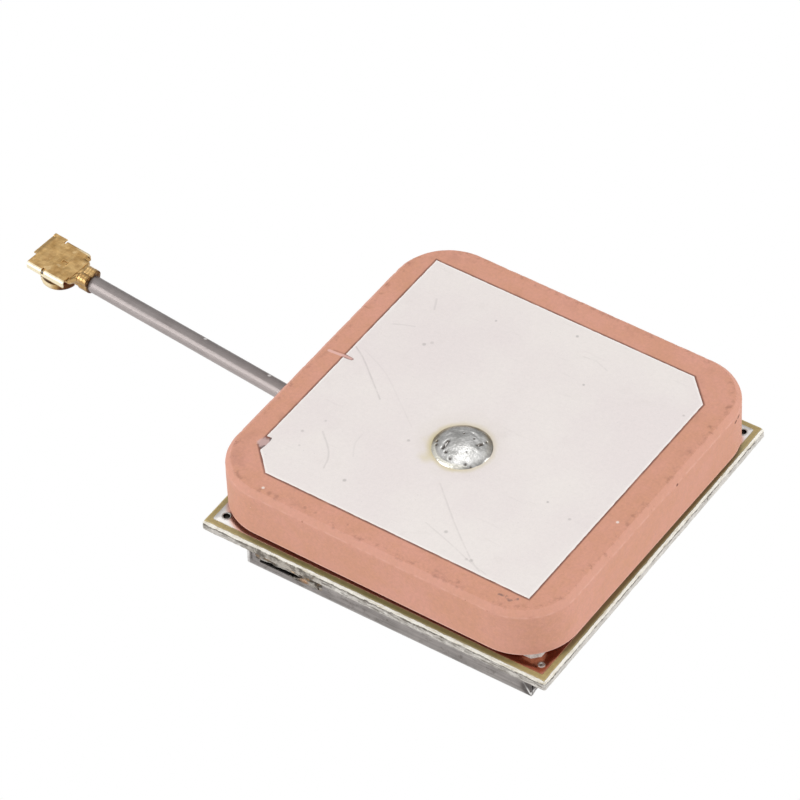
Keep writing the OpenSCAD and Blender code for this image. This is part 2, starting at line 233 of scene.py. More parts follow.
def plate(name, outer, holes, mat, nodes, sharp=40.0):
    """A flat plate: outer and each hole are lists of rings from the lower face to the upper one."""
    bm = bmesh.new()
    ends = [[], []]
    for rings in [outer] + list(holes):
        rows = [[bm.verts.new(tuple(float(c) for c in p)) for p in r] for r in rings]
        n = len(rows[0])
        for a, b in zip(rows, rows[1:]):
            for j in range(n):
                bm.faces.new((a[j], a[(j + 1) % n], b[(j + 1) % n], b[j]))
        for side, row in ((0, rows[0]), (1, rows[-1])):
            ends[side] += [bm.edges.get((row[j], row[(j + 1) % n])) for j in range(n)]
    for edges in ends:
        bmesh.ops.triangle_fill(bm, use_beauty=True, use_dissolve=False, edges=edges)
    bm.verts.index_update()
    V = np.array([tuple(v.co) for v in bm.verts])
    F = [tuple(v.index for v in f.verts) for f in bm.faces]
    bm.free()
    return piece(name, V, F, mat, nodes, sharp)


def sheet_solid(P, keep, thick, side=1.0):
    """Thickens a grid of middle-surface points into closed sheet metal, keeping only the cells asked for.
    The cut edges get a middle row pushed out a little, so that they are rounded and catch light."""
    nu, nv = P.shape[:2]
    du = np.gradient(P, axis=0)
    dv = np.gradient(P, axis=1)
    N = np.cross(du, dv)
    N /= np.maximum(np.linalg.norm(N, axis=2), 1e-9)[..., None]
    T, B = P + N * thick / 2 * side, P - N * thick / 2 * side
    idx = np.arange(nu * nv).reshape(nu, nv)
    V = [T.reshape(-1, 3), B.reshape(-1, 3)]
    off = nu * nv
    F, edges = [], {}
    for i in range(nu - 1):
        for j in range(nv - 1):
            if not keep[i, j]:
                continue
            q = (idx[i, j], idx[i + 1, j], idx[i + 1, j + 1], idx[i, j + 1])
            F.append(q)
            F.append(tuple(k + off for k in reversed(q)))
            for a, b in zip(q, q[1:] + q[:1]):
                if (b, a) in edges:
                    del edges[(b, a)]
                else:
                    edges[(a, b)] = (i, j)
    C = P.reshape(-1, 3)
    cell = {e: C[[idx[i, j], idx[i + 1, j], idx[i + 1, j + 1], idx[i, j + 1]]].mean(0) for e, (i, j) in edges.items()}
    push, mids, extra = {}, {}, []
    for (a, b), c in cell.items():
        m = (C[a] + C[b]) / 2
        t = C[b] - C[a]
        d = m - c
        d -= t * (d @ t) / max(t @ t, 1e-12)
        d /= max(np.linalg.norm(d), 1e-9)
        for k in (a, b):
            push.setdefault(k, []).append(d)
    for k, ds in push.items():
        d = np.sum(ds, 0)
        d /= max(np.linalg.norm(d), 1e-9)
        mids[k] = 2 * off + len(extra)
        extra.append(C[k] + d * thick * 0.22)
    for a, b in edges:
        F.append((b, a, mids[a], mids[b]))
        F.append((mids[b], mids[a], a + off, b + off))
    if extra:
        V.append(np.array(extra))
    return np.vstack(V), F


# ---------------------------------------------------------------- material helpers
class S:
    """A socket that can be written into formulas."""

    def __init__(self, g, k):
        self.g, self.k = g, k

    def __add__(self, o): return self.g.math("ADD", self, o)
    __radd__ = __add__
    def __sub__(self, o): return self.g.math("SUBTRACT", self, o)
    def __rsub__(self, o): return self.g.math("SUBTRACT", o, self)
    def __mul__(self, o): return self.g.math("MULTIPLY", self, o)
    __rmul__ = __mul__
    def __truediv__(self, o): return self.g.math("DIVIDE", self, o)
    def max(self, o): return self.g.math("MAXIMUM", self, o)
    def min(self, o): return self.g.math("MINIMUM", self, o)
    def abs(self): return self.g.math("ABSOLUTE", self)
    def sin(self): return self.g.math("SINE", self)
    def sqrt(self): return self.g.math("SQRT", self)
    def pow(self, o): return self.g.math("POWER", self, o)

    def ss(self, a, b, lo=0.0, hi=1.0):
        """Smooth step from lo to hi as the value goes from a to b."""
        n = self.g.node("ShaderNodeMapRange")
        n.interpolation_type = "SMOOTHSTEP"
        self.g.put(n.inputs[0], self)
        for k, v in zip((1, 2, 3, 4), (a, b, lo, hi)):
            n.inputs[k].default_value = v
        return S(self.g, n.outputs[0])

    def lin(self, a, b, lo=0.0, hi=1.0):
        n = self.g.node("ShaderNodeMapRange")
        self.g.put(n.inputs[0], self)
        for k, v in zip((1, 2, 3, 4), (a, b, lo, hi)):
            n.inputs[k].default_value = v
        return S(self.g, n.outputs[0])


class Mat:
    """One procedural material. P is the position in millimetres in the part's frame."""

    def __init__(self, name, metallic=0.0, ior=1.5, spec=0.5):
        m = bpy.data.materials.new(name)
        m.use_nodes = True
        self.m, self.t = m, m.node_tree
        self.t.nodes.clear()
        out = self.node("ShaderNodeOutputMaterial")
        self.b = self.node("ShaderNodeBsdfPrincipled")
        self.t.links.new(self.b.outputs[0], out.inputs[0])
        self.b.inputs["Metallic"].default_value = metallic
        self.b.inputs["IOR"].default_value = ior
        self.b.inputs["Specular IOR Level"].default_value = spec
        tc = self.node("ShaderNodeTexCoord")
        self.P = self.vec("SCALE", S(self, tc.outputs["Object"]), scale=1000.0)
        self.x, self.y, self.z = self.split(self.P)
        self.prev = None

    def node(self, kind):
        return self.t.nodes.new(kind)

    def put(self, socket, v):
        if isinstance(v, S):
            self.t.links.new(v.k, socket)
        elif isinstance(v, (tuple, list)) and len(v) == 3 and socket.type == "RGBA":
            socket.default_value = (*v, 1.0)
        else:
            socket.default_value = v

    def math(self, op, a, b=None):
        n = self.node("ShaderNodeMath")
        n.operation = op
        self.put(n.inputs[0], a)
        if b is not None:
            self.put(n.inputs[1], b)
        return S(self, n.outputs[0])

    def vec(self, op, a, b=None, scale=None):
        n = self.node("ShaderNodeVectorMath")
        n.operation = op
        self.put(n.inputs[0], a)
        if b is not None:
            self.put(n.inputs[1], b)
        if scale is not None:
            self.put(n.inputs["Scale"], scale)
        return S(self, n.outputs["Value"] if op in ("LENGTH", "DOT_PRODUCT", "DISTANCE") else n.outputs[0])

    def split(self, v):
        n = self.node("ShaderNodeSeparateXYZ")
        self.put(n.inputs[0], v)
        return [S(self, o) for o in n.outputs]

    def join(self, x, y, z):
        n = self.node("ShaderNodeCombineXYZ")
        for k, v in enumerate((x, y, z)):
            self.put(n.inputs[k], v)
        return S(self, n.outputs[0])

    def noise(self, scale, detail=2.0, rough=0.5, P=None, stretch=None, shift=(0, 0, 0), dist=0.0):
        """Noise with scale features per millimetre, about 0.2 to 0.8 with a middle of 0.5."""
        P = P or self.P
        if stretch or any(shift):
            P = self.vec("MULTIPLY", self.vec("ADD", P, shift), stretch or (1, 1, 1))
        n = self.node("ShaderNodeTexNoise")
        self.put(n.inputs["Vector"], P)
        n.inputs["Scale"].default_value = scale
        n.inputs["Detail"].default_value = detail
        n.inputs["Roughness"].default_value = rough
        n.inputs["Distortion"].default_value = dist
        return S(self, n.outputs[0])

    def rgb_noise(self, scale, P=None):
        n = self.node("ShaderNodeTexNoise")
        self.put(n.inputs["Vector"], P or self.P)
        n.inputs["Scale"].default_value = scale
        return n.outputs[1]

    def cells(self, scale, P=None, shift=(0, 0, 0), stretch=None, rand=1.0):
        """Distance to the nearest random point, in cell sizes, and a random number per cell."""
        P = P or self.P
        P = self.vec("MULTIPLY", self.vec("ADD", P, shift), stretch or (1, 1, 1))
        n = self.node("ShaderNodeTexVoronoi")
        self.put(n.inputs["Vector"], P)
        n.inputs["Scale"].default_value = scale
        n.inputs["Randomness"].default_value = rand
        r = self.split(S(self, n.outputs["Color"]))
        return S(self, n.outputs["Distance"]), r[0], r[1]

    def specks(self, scale, size, share, P=None, shift=(0, 0, 0), stretch=None):
        """Soft round specks: share of the cells carry one, with a radius up to size millimetres."""
        d, r, q = self.cells(scale, P, shift, stretch)
        rad = q * (size * scale * 0.7) + size * scale * 0.3
        on = r.ss(share, share + 0.001, 1.0, 0.0)
        return (d / rad).ss(0.6, 1.0, 1.0, 0.0) * on

    def mix(self, f, a, b):
        n = self.node("ShaderNodeMix")
        n.data_type = "RGBA"
        self.put(n.inputs[0], f)
        self.put(n.inputs[6], a)
        self.put(n.inputs[7], b)
        return S(self, n.outputs[2])

    def shade(self, c, f):
        """Multiplies a colour by a grey factor."""
        n = self.node("ShaderNodeVectorMath")
        n.operation = "SCALE"
        self.put(n.inputs[0], c)
        self.put(n.inputs["Scale"], f)
        return S(self, n.outputs[0])

    def segment(self, P, a, b):
        """Distance from P to the line piece a-b."""
        a, b = np.array((*a, 0.0))[:3], np.array((*b, 0.0))[:3]
        d = b - a
        pa = self.vec("SUBTRACT", P, tuple(a))
        t = self.vec("DOT_PRODUCT", pa, tuple(d / (d @ d)))
        n = self.node("ShaderNodeClamp")
        self.put(n.inputs[0], t)
        q = self.vec("SCALE", tuple(d), scale=S(self, n.outputs[0]))
        return self.vec("DISTANCE", pa, q)

    def line(self, P, pts):
        d = None
        for a, b in zip(pts, pts[1:]):
            s = self.segment(P, a, b)
            d = s if d is None else d.min(s)
        return d

    def spot(self, P, c, r, soft=0.4):
        """1 inside a soft round spot."""
        return self.vec("DISTANCE", P, (*c, 0.0)[:3]).ss(r * (1 - soft), r, 1.0, 0.0)

    def bump(self, h, depth, strength=1.0):
        """Bump with a height of depth millimetres for a value of 1."""
        n = self.node("ShaderNodeBump")
        n.inputs["Strength"].default_value = strength
        n.inputs["Distance"].default_value = depth * MM
        self.put(n.inputs["Height"], h)
        if self.prev:
            self.put(n.inputs["Normal"], self.prev)
        self.prev = S(self, n.outputs[0])

    def done(self, base, rough):
        self.put(self.b.inputs["Base Color"], base)
        self.put(self.b.inputs["Roughness"], rough)
        if self.prev:
            self.put(self.b.inputs["Normal"], self.prev)
        return self.m


def srgb(r, g, b):
    return tuple((c / 255 / 12.92) if c / 255 <= 0.04045 else ((c / 255 + 0.055) / 1.055) ** 2.4 for c in (r, g, b))


# ---------------------------------------------------------------- shared sizes
YAW = math.radians(-0.6)
CER_C = np.array((0.035, 0.083))
FEED = np.array((-0.014, -2.297))


def from_block(P):
    """Block frame to part frame."""
    P = np.array(P, float)
    c, s = math.cos(YAW), math.sin(YAW)
    xy = np.column_stack([c * P[:, 0] - s * P[:, 1], s * P[:, 0] + c * P[:, 1]]) + CER_C
    return np.column_stack([xy, P[:, 2]]) if P.shape[1] == 3 else xy


def to_block(p):
    c, s = math.cos(YAW), math.sin(YAW)
    d = np.asarray(p, float)[:2] - CER_C
    return np.array((c * d[0] + s * d[1], -s * d[0] + c * d[1]))


FEED_B = to_block(FEED)
LEAD_A = math.radians(174.45)
LEAD_Z = 1.335
EX = np.array((math.cos(LEAD_A), math.sin(LEAD_A)))
EY = np.array((-math.sin(LEAD_A), math.cos(LEAD_A)))


def from_lead(P):
    """Lead frame (along the cable, across it towards the front, up) to part frame."""
    P = np.asarray(P, float)
    xy = np.array((-12.5, 0.0)) + P[:, :1] * EX + P[:, 1:2] * EY
    return np.column_stack([xy, P[:, 2]])


def block_coords(g):
    """Position in the block's frame, as a flat vector and its two numbers."""
    c, s = math.cos(YAW), math.sin(YAW)
    dx, dy = g.x - float(CER_C[0]), g.y - float(CER_C[1])
    xb, yb = dx * c + dy * s, dy * c - dx * s
    return g.join(xb, yb, 0.0), xb, yb


def block_depth(g):
    """How far a point lies inside the block's outline, seen from above."""
    _, xb, yb = block_coords(g)
    qx, qy = xb.abs() - 8.7, yb.abs() - 8.7
    return 3.8 - ((qx.max(0.0).pow(2.0) + qy.max(0.0).pow(2.0)).sqrt() + qx.max(qy).min(0.0))


def lead_coords(g):
    dx, dy = g.x + 12.5, g.y
    xl = dx * float(EX[0]) + dy * float(EX[1])
    yl = dx * float(EY[0]) + dy * float(EY[1])
    return g.join(xl, yl, g.z), xl, yl


SILVER_C = (-0.14, -0.11)
SILVER_H = 10.52
SILVER_CUT = 1.75
VIA_C = (0.085, 0.03)
VIA_H = (11.555, 11.51)
VIAS = {(sx, sy): (VIA_C[0] + sx * VIA_H[0], VIA_C[1] + sy * VIA_H[1]) for sx in (1, -1) for sy in (1, -1)}


# ---------------------------------------------------------------- materials
def silver_edge(xb, yb):
    """Distance outside (+) or inside (-) the silver's outline in the block's frame."""
    dx, dy = xb - SILVER_C[0], yb - SILVER_C[1]
    sq = dx.abs().max(dy.abs()) - SILVER_H
    cut = ((dx + dy).abs() - (2 * SILVER_H - SILVER_CUT)) * 0.70711
    return sq.max(cut)


def mat_ceramic():
    g = Mat("fired_ceramic", ior=1.5, spec=0.22)
    Q, xb, yb = block_coords(g)
    qx, qy = xb.abs() - (12.5 - 3.8), yb.abs() - (12.5 - 3.8)
    d = (qx.max(0.0).pow(2.0) + qy.max(0.0).pow(2.0)).sqrt() + qx.max(qy).min(0.0)
    e = 3.8 - d                                            # distance in from the wall
    cloud = g.noise(0.22, 4.0, 0.6)
    mottle = g.noise(1.1, 4.0, 0.65, shift=(4, 8, 3))
    fine = g.noise(5.0, 3.0, 0.65)
    grain = g.noise(17.0, 2.0, 0.7)
    col = g.mix(cloud.ss(0.32, 0.68), srgb(211, 153, 128), srgb(216, 157, 137))
    col = g.mix(mottle.ss(0.45, 0.75) * 0.30, col, srgb(207, 152, 116))
    col = g.mix(mottle.ss(0.25, 0.5, 1.0, 0.0) * 0.25, col, srgb(220, 158, 144))
    col = g.shade(col, fine.lin(0.25, 0.75, 0.925, 1.075) * grain.lin(0.25, 0.75, 0.955, 1.045))
    # pressed bevel painted a little paler as a painted highlight, with a bright line at its lower edge that is partly
    # wear and partly painted highlight
    on_top = g.z.ss(6.4, 6.6)
    bevel_highlight = e.ss(-0.02, 0.03) * e.ss(0.33, 0.40, 1.0, 0.0) * on_top
    col = g.mix(bevel_highlight * 0.30, col, srgb(232, 174, 156))
    line = (g.z - 6.62).abs().ss(0.0, 0.09, 1.0, 0.0) * e.ss(0.06, 0.1, 1.0, 0.0)
    col = g.mix(line * g.noise(2.0, 2.0).ss(0.35, 0.62) * 0.35, col, srgb(238, 188, 170))
    # chips along the bevel's two edges
    chip = g.specks(2.6, 0.10, 0.22, stretch=(1, 1, 1)) * ((g.z - 6.60).abs().ss(0.05, 0.2, 1.0, 0.0) * e.ss(0.1, 0.15, 1.0, 0.0))
    col = g.mix(chip * 0.6, col, srgb(176, 112, 90))
    # grey-brown handling smudges in broken streaks along the upper edge of the bevel
    smear = g.noise(1.6, 5.0, 0.7).ss(0.50, 0.70)
    band = e.ss(0.22, 0.40) * e.ss(0.48, 0.95, 1.0, 0.0) * on_top
    col = g.mix(smear * band * 0.42, col, srgb(136, 92, 78))
    wide = g.noise(0.5, 4.0, 0.65, shift=(1, 5, 2)).ss(0.52, 0.72) * e.ss(0.3, 0.5) * e.ss(0.8, 1.7, 1.0, 0.0) * on_top
    col = g.mix(wide * 0.22, col, srgb(150, 104, 90))
    # a pale line along the foot, partly wear and partly painted highlight, and painted shade on the flat underside
    foot_wear_and_highlight = g.z.ss(3.44, 3.54, 1.0, 0.0)
    col = g.mix(foot_wear_and_highlight * g.noise(1.4, 3.0).ss(0.3, 0.6, 0.25, 0.6), col, srgb(242, 196, 182))
    col = g.mix(g.z.ss(3.400, 3.408, 1.0, 0.0) * 0.7, col, srgb(92, 50, 36))
    # print outline: a thin grey rim where the silver ends
    s = silver_edge(xb, yb)
    rim = s.ss(0.05, 0.18, 1.0, 0.0) * g.z.ss(6.9, 6.95) * g.noise(1.1, 3.0).ss(0.3, 0.5, 0.65, 1.0)
    col = g.mix(rim * 0.85, col, srgb(112, 72, 62))
    stain = s.ss(0.1, 0.7, 1.0, 0.0) * g.noise(0.8, 3.0, 0.6).ss(0.55, 0.75) * g.z.ss(6.9, 6.95)
    col = g.mix(stain * 0.25, col, srgb(150, 108, 92))
    # specks all over
    col = g.mix(g.specks(0.45, 0.09, 0.12) * 0.55, col, srgb(132, 84, 68))
    col = g.mix(g.specks(1.7, 0.04, 0.22, shift=(3, 7, 1)) * 0.45, col, srgb(150, 98, 80))
    col = g.mix(g.specks(0.8, 0.06, 0.12, shift=(9, 2, 4)) * 0.5, col, srgb(240, 208, 198))
    # marks that the photograph shows one by one, with ragged outlines
    top = g.z.ss(6.5, 6.7)
    rag = g.vec("SCALE", g.vec("SUBTRACT", S(g, g.rgb_noise(3.0)), (0.5, 0.5, 0.5)), scale=0.42)
    Qr = g.vec("ADD", Q, g.vec("MULTIPLY", rag, (1.0, 1.0, 0.0)))
    for c, r, a in (((-7.75, -11.92), .26, .5), ((-7.15, -11.89), .20, .4), ((-5.23, -11.71), .16, .4), ((-4.43, -11.69), .16, .35),
                    ((-2.22, -11.51), .14, .35), ((.27, -11.92), .18, .35), ((6.05, -11.79), .22, .45), ((11.91, -1.52), .26, .5),
                    ((11.99, -2.38), .20, .45), ((12.16, -5.13), .22, .45), ((11.76, 7.24), .22, .5), ((12.08, 6.93), .18, .5), ((11.83, 9.33), .22, .45)):
        col = g.mix(g.spot(Qr, c, r, 0.9) * top * a * 0.72, col, srgb(128, 80, 68))
    for c in ((-8.3, -11.74), (11.39, -2.52)):
        col = g.mix(g.spot(Q, c, 0.13, 0.5) * top * 0.85, col, srgb(240, 225, 216))
    arc = g.line(Q, [(8.67, -11.28), (9.12, -11.19), (9.46, -11.39), (9.82, -11.01)]).ss(0.03, 0.13, 1.0, 0.0)
    col = g.mix(arc * top * g.noise(3.0, 3.0).ss(0.35, 0.6) * 0.8, col, srgb(120, 98, 94))
    cut = g.line(Q, [(-11.75, 0.13), (-11.0, 0.19), (-10.6, 0.26), (-9.95, 0.26)])
    col = g.mix(cut.ss(0.07, 0.13, 1.0, 0.0) * top * 0.75, col, srgb(232, 188, 180))
    col = g.mix(g.line(Q, [(-11.5, 0.31), (-10.8, 0.4)]).ss(0.02, 0.08, 1.0, 0.0) * top * 0.4, col, srgb(150, 100, 88))
    # a painted shadow line along the slot's near edge
    col = g.mix(g.line(Q, [(-10.75, 0.03), (-10.5, 0.1), (-10.0, 0.14)]).ss(0.02, 0.09, 1.0, 0.0) * top * 0.55, col, srgb(120, 70, 66))
    col = g.mix(g.spot(Qr, (-10.02, 0.24), 0.20, 0.6) * top * 0.6, col, srgb(128, 112, 110))
    nick = g.spot(Qr, (-10.46, -8.60), 0.52, 0.35) * top
    col = g.mix(nick * 0.75, col, srgb(212, 182, 178))
    for c, r in (((-10.28, -8.14), 0.20), ((-10.30, -8.98), 0.22)):
        col = g.mix(g.spot(Qr, c, r, 0.5) * top * 0.85, col, srgb(98, 86, 86))
    R = g.join(g.y, g.z, 0.0)
    side = xb.ss(12.3, 12.4)
    for a, b in (((9.6, 6.31), (9.4, 6.3)), ((9.15, 6.25), (9.0, 6.24)), ((2.39, 6.54), (2.35, 6.54))):
        col = g.mix(g.segment(R, a, b).ss(0.05, 0.12, 1.0, 0.0) * side * 0.9, col, srgb(105, 58, 48))
    g.bump(g.noise(1.2, 3.0, 0.6), 0.012)
    g.bump(grain * 0.6 + fine * 0.6, 0.010)
    rough = fine.lin(0.25, 0.75, 0.50, 0.66)
    return g.done(col, rough)


SCRATCHES = [
    (((-10.49, 1.27), (-9.53, .68), (-8.18, -.41), (-6.63, -1.69)), 0.045, 0.42),
    (((-9.87, 1.34), (-7.68, .39), (-5.55, -1.15), (-3.6, -2.63)), 0.040, 0.12),
    (((.56, -5.65), (3.34, -8.05), (5.72, -9.89), (6.62, -10.38)), 0.045, 0.28),
    (((1.68, -8.81), (3.82, -9.43), (5.71, -10.05), (7.07, -10.39)), 0.042, 0.22),
    (((-7.98, -5.91), (-6.93, -6.83), (-6.39, -7.59), (-6.16, -8.39)), 0.050, 0.32),
    (((-5.8, -4.84), (-5.7, -5.72), (-5.18, -6.66)), 0.045, 0.14),
    (((-8.66, 7.5), (-8.26, 6.66)), 0.060, 0.30),
    (((-9.71, 4.18), (-9.08, 4.48), (-8.43, 4.73)), 0.045, 0.24),
    (((1.93, 8.17), (2.81, 8.24), (3.83, 7.92)), 0.045, 0.20),
]
DOTS = [(-8.52, -7.63), (-9.07, -6.52), (3.15, -8.79), (6.94, -3.42), (5.46, -10), (5.75, -9.93), (-4.43, 7.88), (.61, 9.46),
        (-6.7, 4.12), (9.9, 7.2), (-3.11, -3.68), (-4.48, -8.57), (-8.36, -5.04), (8.84, -3.9), (-7.04, 3.74), (3.28, 6.11)]


def smooth_line(pts, n=3):
    """Rounds a line of points into a curve through them."""
    p = np.array(pts, float)
    p = np.vstack([2 * p[0] - p[1], p, 2 * p[-1] - p[-2]])
    out = []
    for i in range(1, len(p) - 2):
        for k in range(n):
            t = k / n
            out.append(tuple(0.5 * (2 * p[i] + (p[i + 1] - p[i - 1]) * t + (2 * p[i - 1] - 5 * p[i] + 4 * p[i + 1] - p[i + 2]) * t * t
                                    + (3 * p[i] - p[i - 1] - 3 * p[i + 1] + p[i + 2]) * t ** 3)))
    return out + [tuple(p[-2])]


def mat_silver(detailed=True):
    g = Mat("fired_silver" if detailed else "fired_silver_plain", metallic=0.0, ior=1.6, spec=0.4)
    Q, xb, yb = block_coords(g)
    cloud = g.noise(0.13, 3.0, 0.55)
    fine = g.noise(4.0, 4.0, 0.7)
    grain = g.noise(16.0, 2.0, 0.7)
    col = g.mix(cloud.ss(0.32, 0.68), srgb(233, 224, 222), srgb(237, 230, 226))
    col = g.shade(col, fine.lin(0.25, 0.75, 0.972, 1.028) * grain.lin(0.25, 0.75, 0.975, 1.025))
    if not detailed:
        g.bump(fine, 0.008)
        return g.done(col, fine.lin(0.2, 0.8, 0.42, 0.6))
    dirt = g.noise(0.55, 4.0, 0.6, shift=(5, 3, 0)).ss(0.58, 0.8)
    col = g.mix(dirt * 0.08, col, srgb(190, 178, 170))
    hair = g.noise(1.0, 3.0, 0.6, stretch=(0.35, 3.2, 1), shift=(2, 0, 0)).ss(0.62, 0.72)
    col = g.mix(hair * 0.05, col, srgb(150, 140, 136))
    mark = None
    for pts, w, a in SCRATCHES:
        m = g.line(Q, smooth_line(pts)).ss(w * 0.2, w * 2.0, 1.0, 0.0) * a
        mark = m if mark is None else mark.max(m)
    mark = mark * g.noise(2.2, 3.0, 0.6).ss(0.28, 0.55, 0.35, 1.0)
    col = g.mix(mark * 0.55, col, srgb(120, 110, 108))
    for k, c in enumerate(DOTS):
        col = g.mix(g.spot(Q, c, 0.12 + 0.03 * (k % 3), 0.7) * (0.20 + 0.06 * (k % 4)), col, srgb(116, 106, 104))
    col = g.mix(g.specks(1.1, 0.07, 0.22) * 0.20, col, srgb(150, 142, 140))
    col = g.mix(g.specks(2.3, 0.05, 0.3, shift=(4, 1, 0)) * 0.16, col, srgb(158, 150, 148))
    # flux left by soldering: a pale yellow collar, and a breath of it further out
    wob = g.noise(0.9, 3.0, 0.6)
    C = g.vec("DISTANCE", Q, (float(FEED_B[0]), float(FEED_B[1]), 0.0))
    lean = g.vec("DISTANCE", Q, (-0.25, -2.2, 0.0)) + wob.lin(0.2, 0.8, -0.35, 0.35)
    halo = lean.ss(2.0, 3.3, 1.0, 0.0)
    col = g.mix(halo * 0.10, col, srgb(196, 184, 160))
    left = (xb * -0.6 - (yb + 2.35) * 0.55).ss(-1.6, 2.0, 0.45, 1.0)
    ring = (C + wob.lin(0.2, 0.8, -0.14, 0.14)).ss(1.86, 2.34, 1.0, 0.0)
    col = g.mix(ring * left * 0.72, col, srgb(206, 190, 132))
    blob = g.spot(Q, (-1.43, -4.22), 0.75, 0.9)
    col = g.mix(blob * wob.ss(0.3, 0.6) * 0.45, col, srgb(212, 198, 146))
    blob = g.spot(Q, (-1.95, -2.95), 0.8, 0.9)
    col = g.mix(blob * wob.ss(0.3, 0.6) * 0.45, col, srgb(214, 200, 150))
    # a paler line just inside the print's edge
    s = silver_edge(xb, yb)
    col = g.mix(s.ss(-0.17, -0.05) * 0.75, col, srgb(250, 244, 240))
    g.bump(g.noise(0.7, 2.0), 0.02)
    g.bump(fine * 0.8 + grain * 0.5 - mark * 0.8, 0.008)
    rough = fine.lin(0.25, 0.75, 0.44, 0.60)
    return g.done(col, rough)


# Pits in the solder dome, in the block's frame: one or two points and a radius
PITS = [(((-0.85, -2.67), (-0.83, -3.28)), 0.13), (((-0.48, -3.48),), 0.12), (((0.03, -3.78),), 0.10), (((-1.53, -2.89),), 0.13),
        (((-1.39, -3.18),), 0.11), (((0.86, -1.98), (1.02, -1.72)), 0.12), (((1.09, -1.38),), 0.11), (((-0.42, -1.59),), 0.10),
        (((0.64, -2.84),), 0.05), (((0.67, -4.04),), 0.08), (((1.06, -3.63),), 0.10), (((1.40, -3.56),), 0.10), (((0.39, -1.66),), 0.08)]


def mat_dome():
    g = Mat("solder_dome", metallic=1.0)
    Q, xb, yb = block_coords(g)
    C = g.vec("DISTANCE", Q, (float(FEED_B[0]), float(FEED_B[1]), 0.0))
    n = g.noise(1.3, 3.0, 0.55)
    f = g.noise(6.0, 3.0, 0.6)
    col = g.mix(n.ss(0.3, 0.7), srgb(182, 181, 178), srgb(210, 209, 207))
    col = g.shade(col, f.lin(0.25, 0.75, 0.84, 1.10))
    pit = None
    for pts, r in PITS:
        d = g.segment(Q, pts[0], pts[1]) if len(pts) == 2 else g.vec("DISTANCE", Q, (*pts[0], 0.0))
        m = (d + f.lin(0.25, 0.75, -0.03, 0.03)).ss(r * 0.35, r * 1.05, 1.0, 0.0)
        pit = m if pit is None else pit.max(m)
    col = g.mix(pit * 0.85, col, srgb(74, 62, 54))
    col = g.mix(g.specks(2.4, 0.08, 0.22, shift=(2, 2, 2)) * 0.5, col, srgb(110, 100, 90))
    # flux round the foot and a dark line along the foot, both made heavier towards the back as painted shade
    back_shade = (yb + 2.46 - xb * 0.55).ss(-1.4, 1.6)
    flux = C.ss(1.40, 1.80) * g.noise(1.1, 3.0, shift=(7, 0, 0)).ss(0.25, 0.55, 0.3, 1.0)
    col = g.mix(flux * (back_shade * 0.85 + 0.05), col, srgb(142, 126, 92))
    col = g.mix(C.ss(1.83, 1.89) * (back_shade * 0.65 + 0.10), col, srgb(92, 82, 58))
    # painted highlight along the front rim
    rim = C.ss(1.60, 1.72) * (yb + 2.38 + xb * 0.25).ss(-1.5, -0.9, 1.0, 0.0)
    col = g.mix(rim * 0.9, col, srgb(255, 252, 240))
    g.bump(n, 0.04)
    g.bump(f, 0.022)
    return g.done(col, n.lin(0.3, 0.7, 0.11, 0.18) + pit * 0.2 + rim * 0.12)


def mat_solder():
    g = Mat("solder", metallic=1.0)
    n = g.noise(1.3, 4.0, 0.6)
    f = g.noise(6.0, 3.0, 0.65)
    col = g.mix(n.ss(0.3, 0.7), srgb(176, 172, 166), srgb(214, 212, 208))
    col = g.shade(col, f.lin(0.25, 0.75, 0.88, 1.08))
    col = g.mix(g.specks(2.4, 0.12, 0.3) * 0.7, col, srgb(96, 86, 72))
    col = g.mix(g.noise(0.8, 3.0, shift=(4, 9, 2)).ss(0.55, 0.72) * 0.45, col, srgb(158, 134, 98))
    g.bump(n, 0.08)
    g.bump(f, 0.03)
    return g.done(col, n.lin(0.3, 0.7, 0.24, 0.46))


def mat_bead():
    """Solder of the front cut-out: dull, with flux and a bare copper spot at its right end."""
    g = Mat("solder_bead", metallic=1.0)
    n = g.noise(1.5, 4.0, 0.62)
    f = g.noise(5.5, 3.0, 0.7)
    col = g.mix(n.ss(0.40, 0.60), srgb(88, 80, 71), srgb(188, 182, 173))
    col = g.shade(col, f.lin(0.25, 0.75, 0.70, 1.16))
    col = g.mix(g.specks(2.0, 0.20, 0.45) * 0.75, col, srgb(88, 78, 66))
    col = g.mix(g.specks(1.5, 0.22, 0.45, shift=(5, 5, 5)) * 0.8, col, srgb(248, 245, 240))
    col = g.mix(g.noise(1.1, 3.0, shift=(2, 9, 4)).ss(0.54, 0.66) * 0.5, col, srgb(164, 130, 88))
    cop = g.vec("DISTANCE", g.P, (-5.35, -12.15, 0.98)).ss(0.15, 0.55, 1.0, 0.0)
    col = g.mix(cop * n.ss(0.28, 0.50) * 0.65, col, srgb(176, 130, 88))
    # painted shade on the lower part, under the bulge
    low = (g.z + g.x.lin(-9.0, -4.0, 0.1, -0.1)).ss(1.0, 1.3, 1.0, 0.0) * g.x.ss(-5.7, -5.2, 1.0, 0.0)
    col = g.mix(low * 0.7, col, srgb(64, 58, 52))
    g.bump(n, 0.10)
    g.bump(f, 0.04)
    return g.done(col, f.lin(0.3, 0.7, 0.30, 0.52))


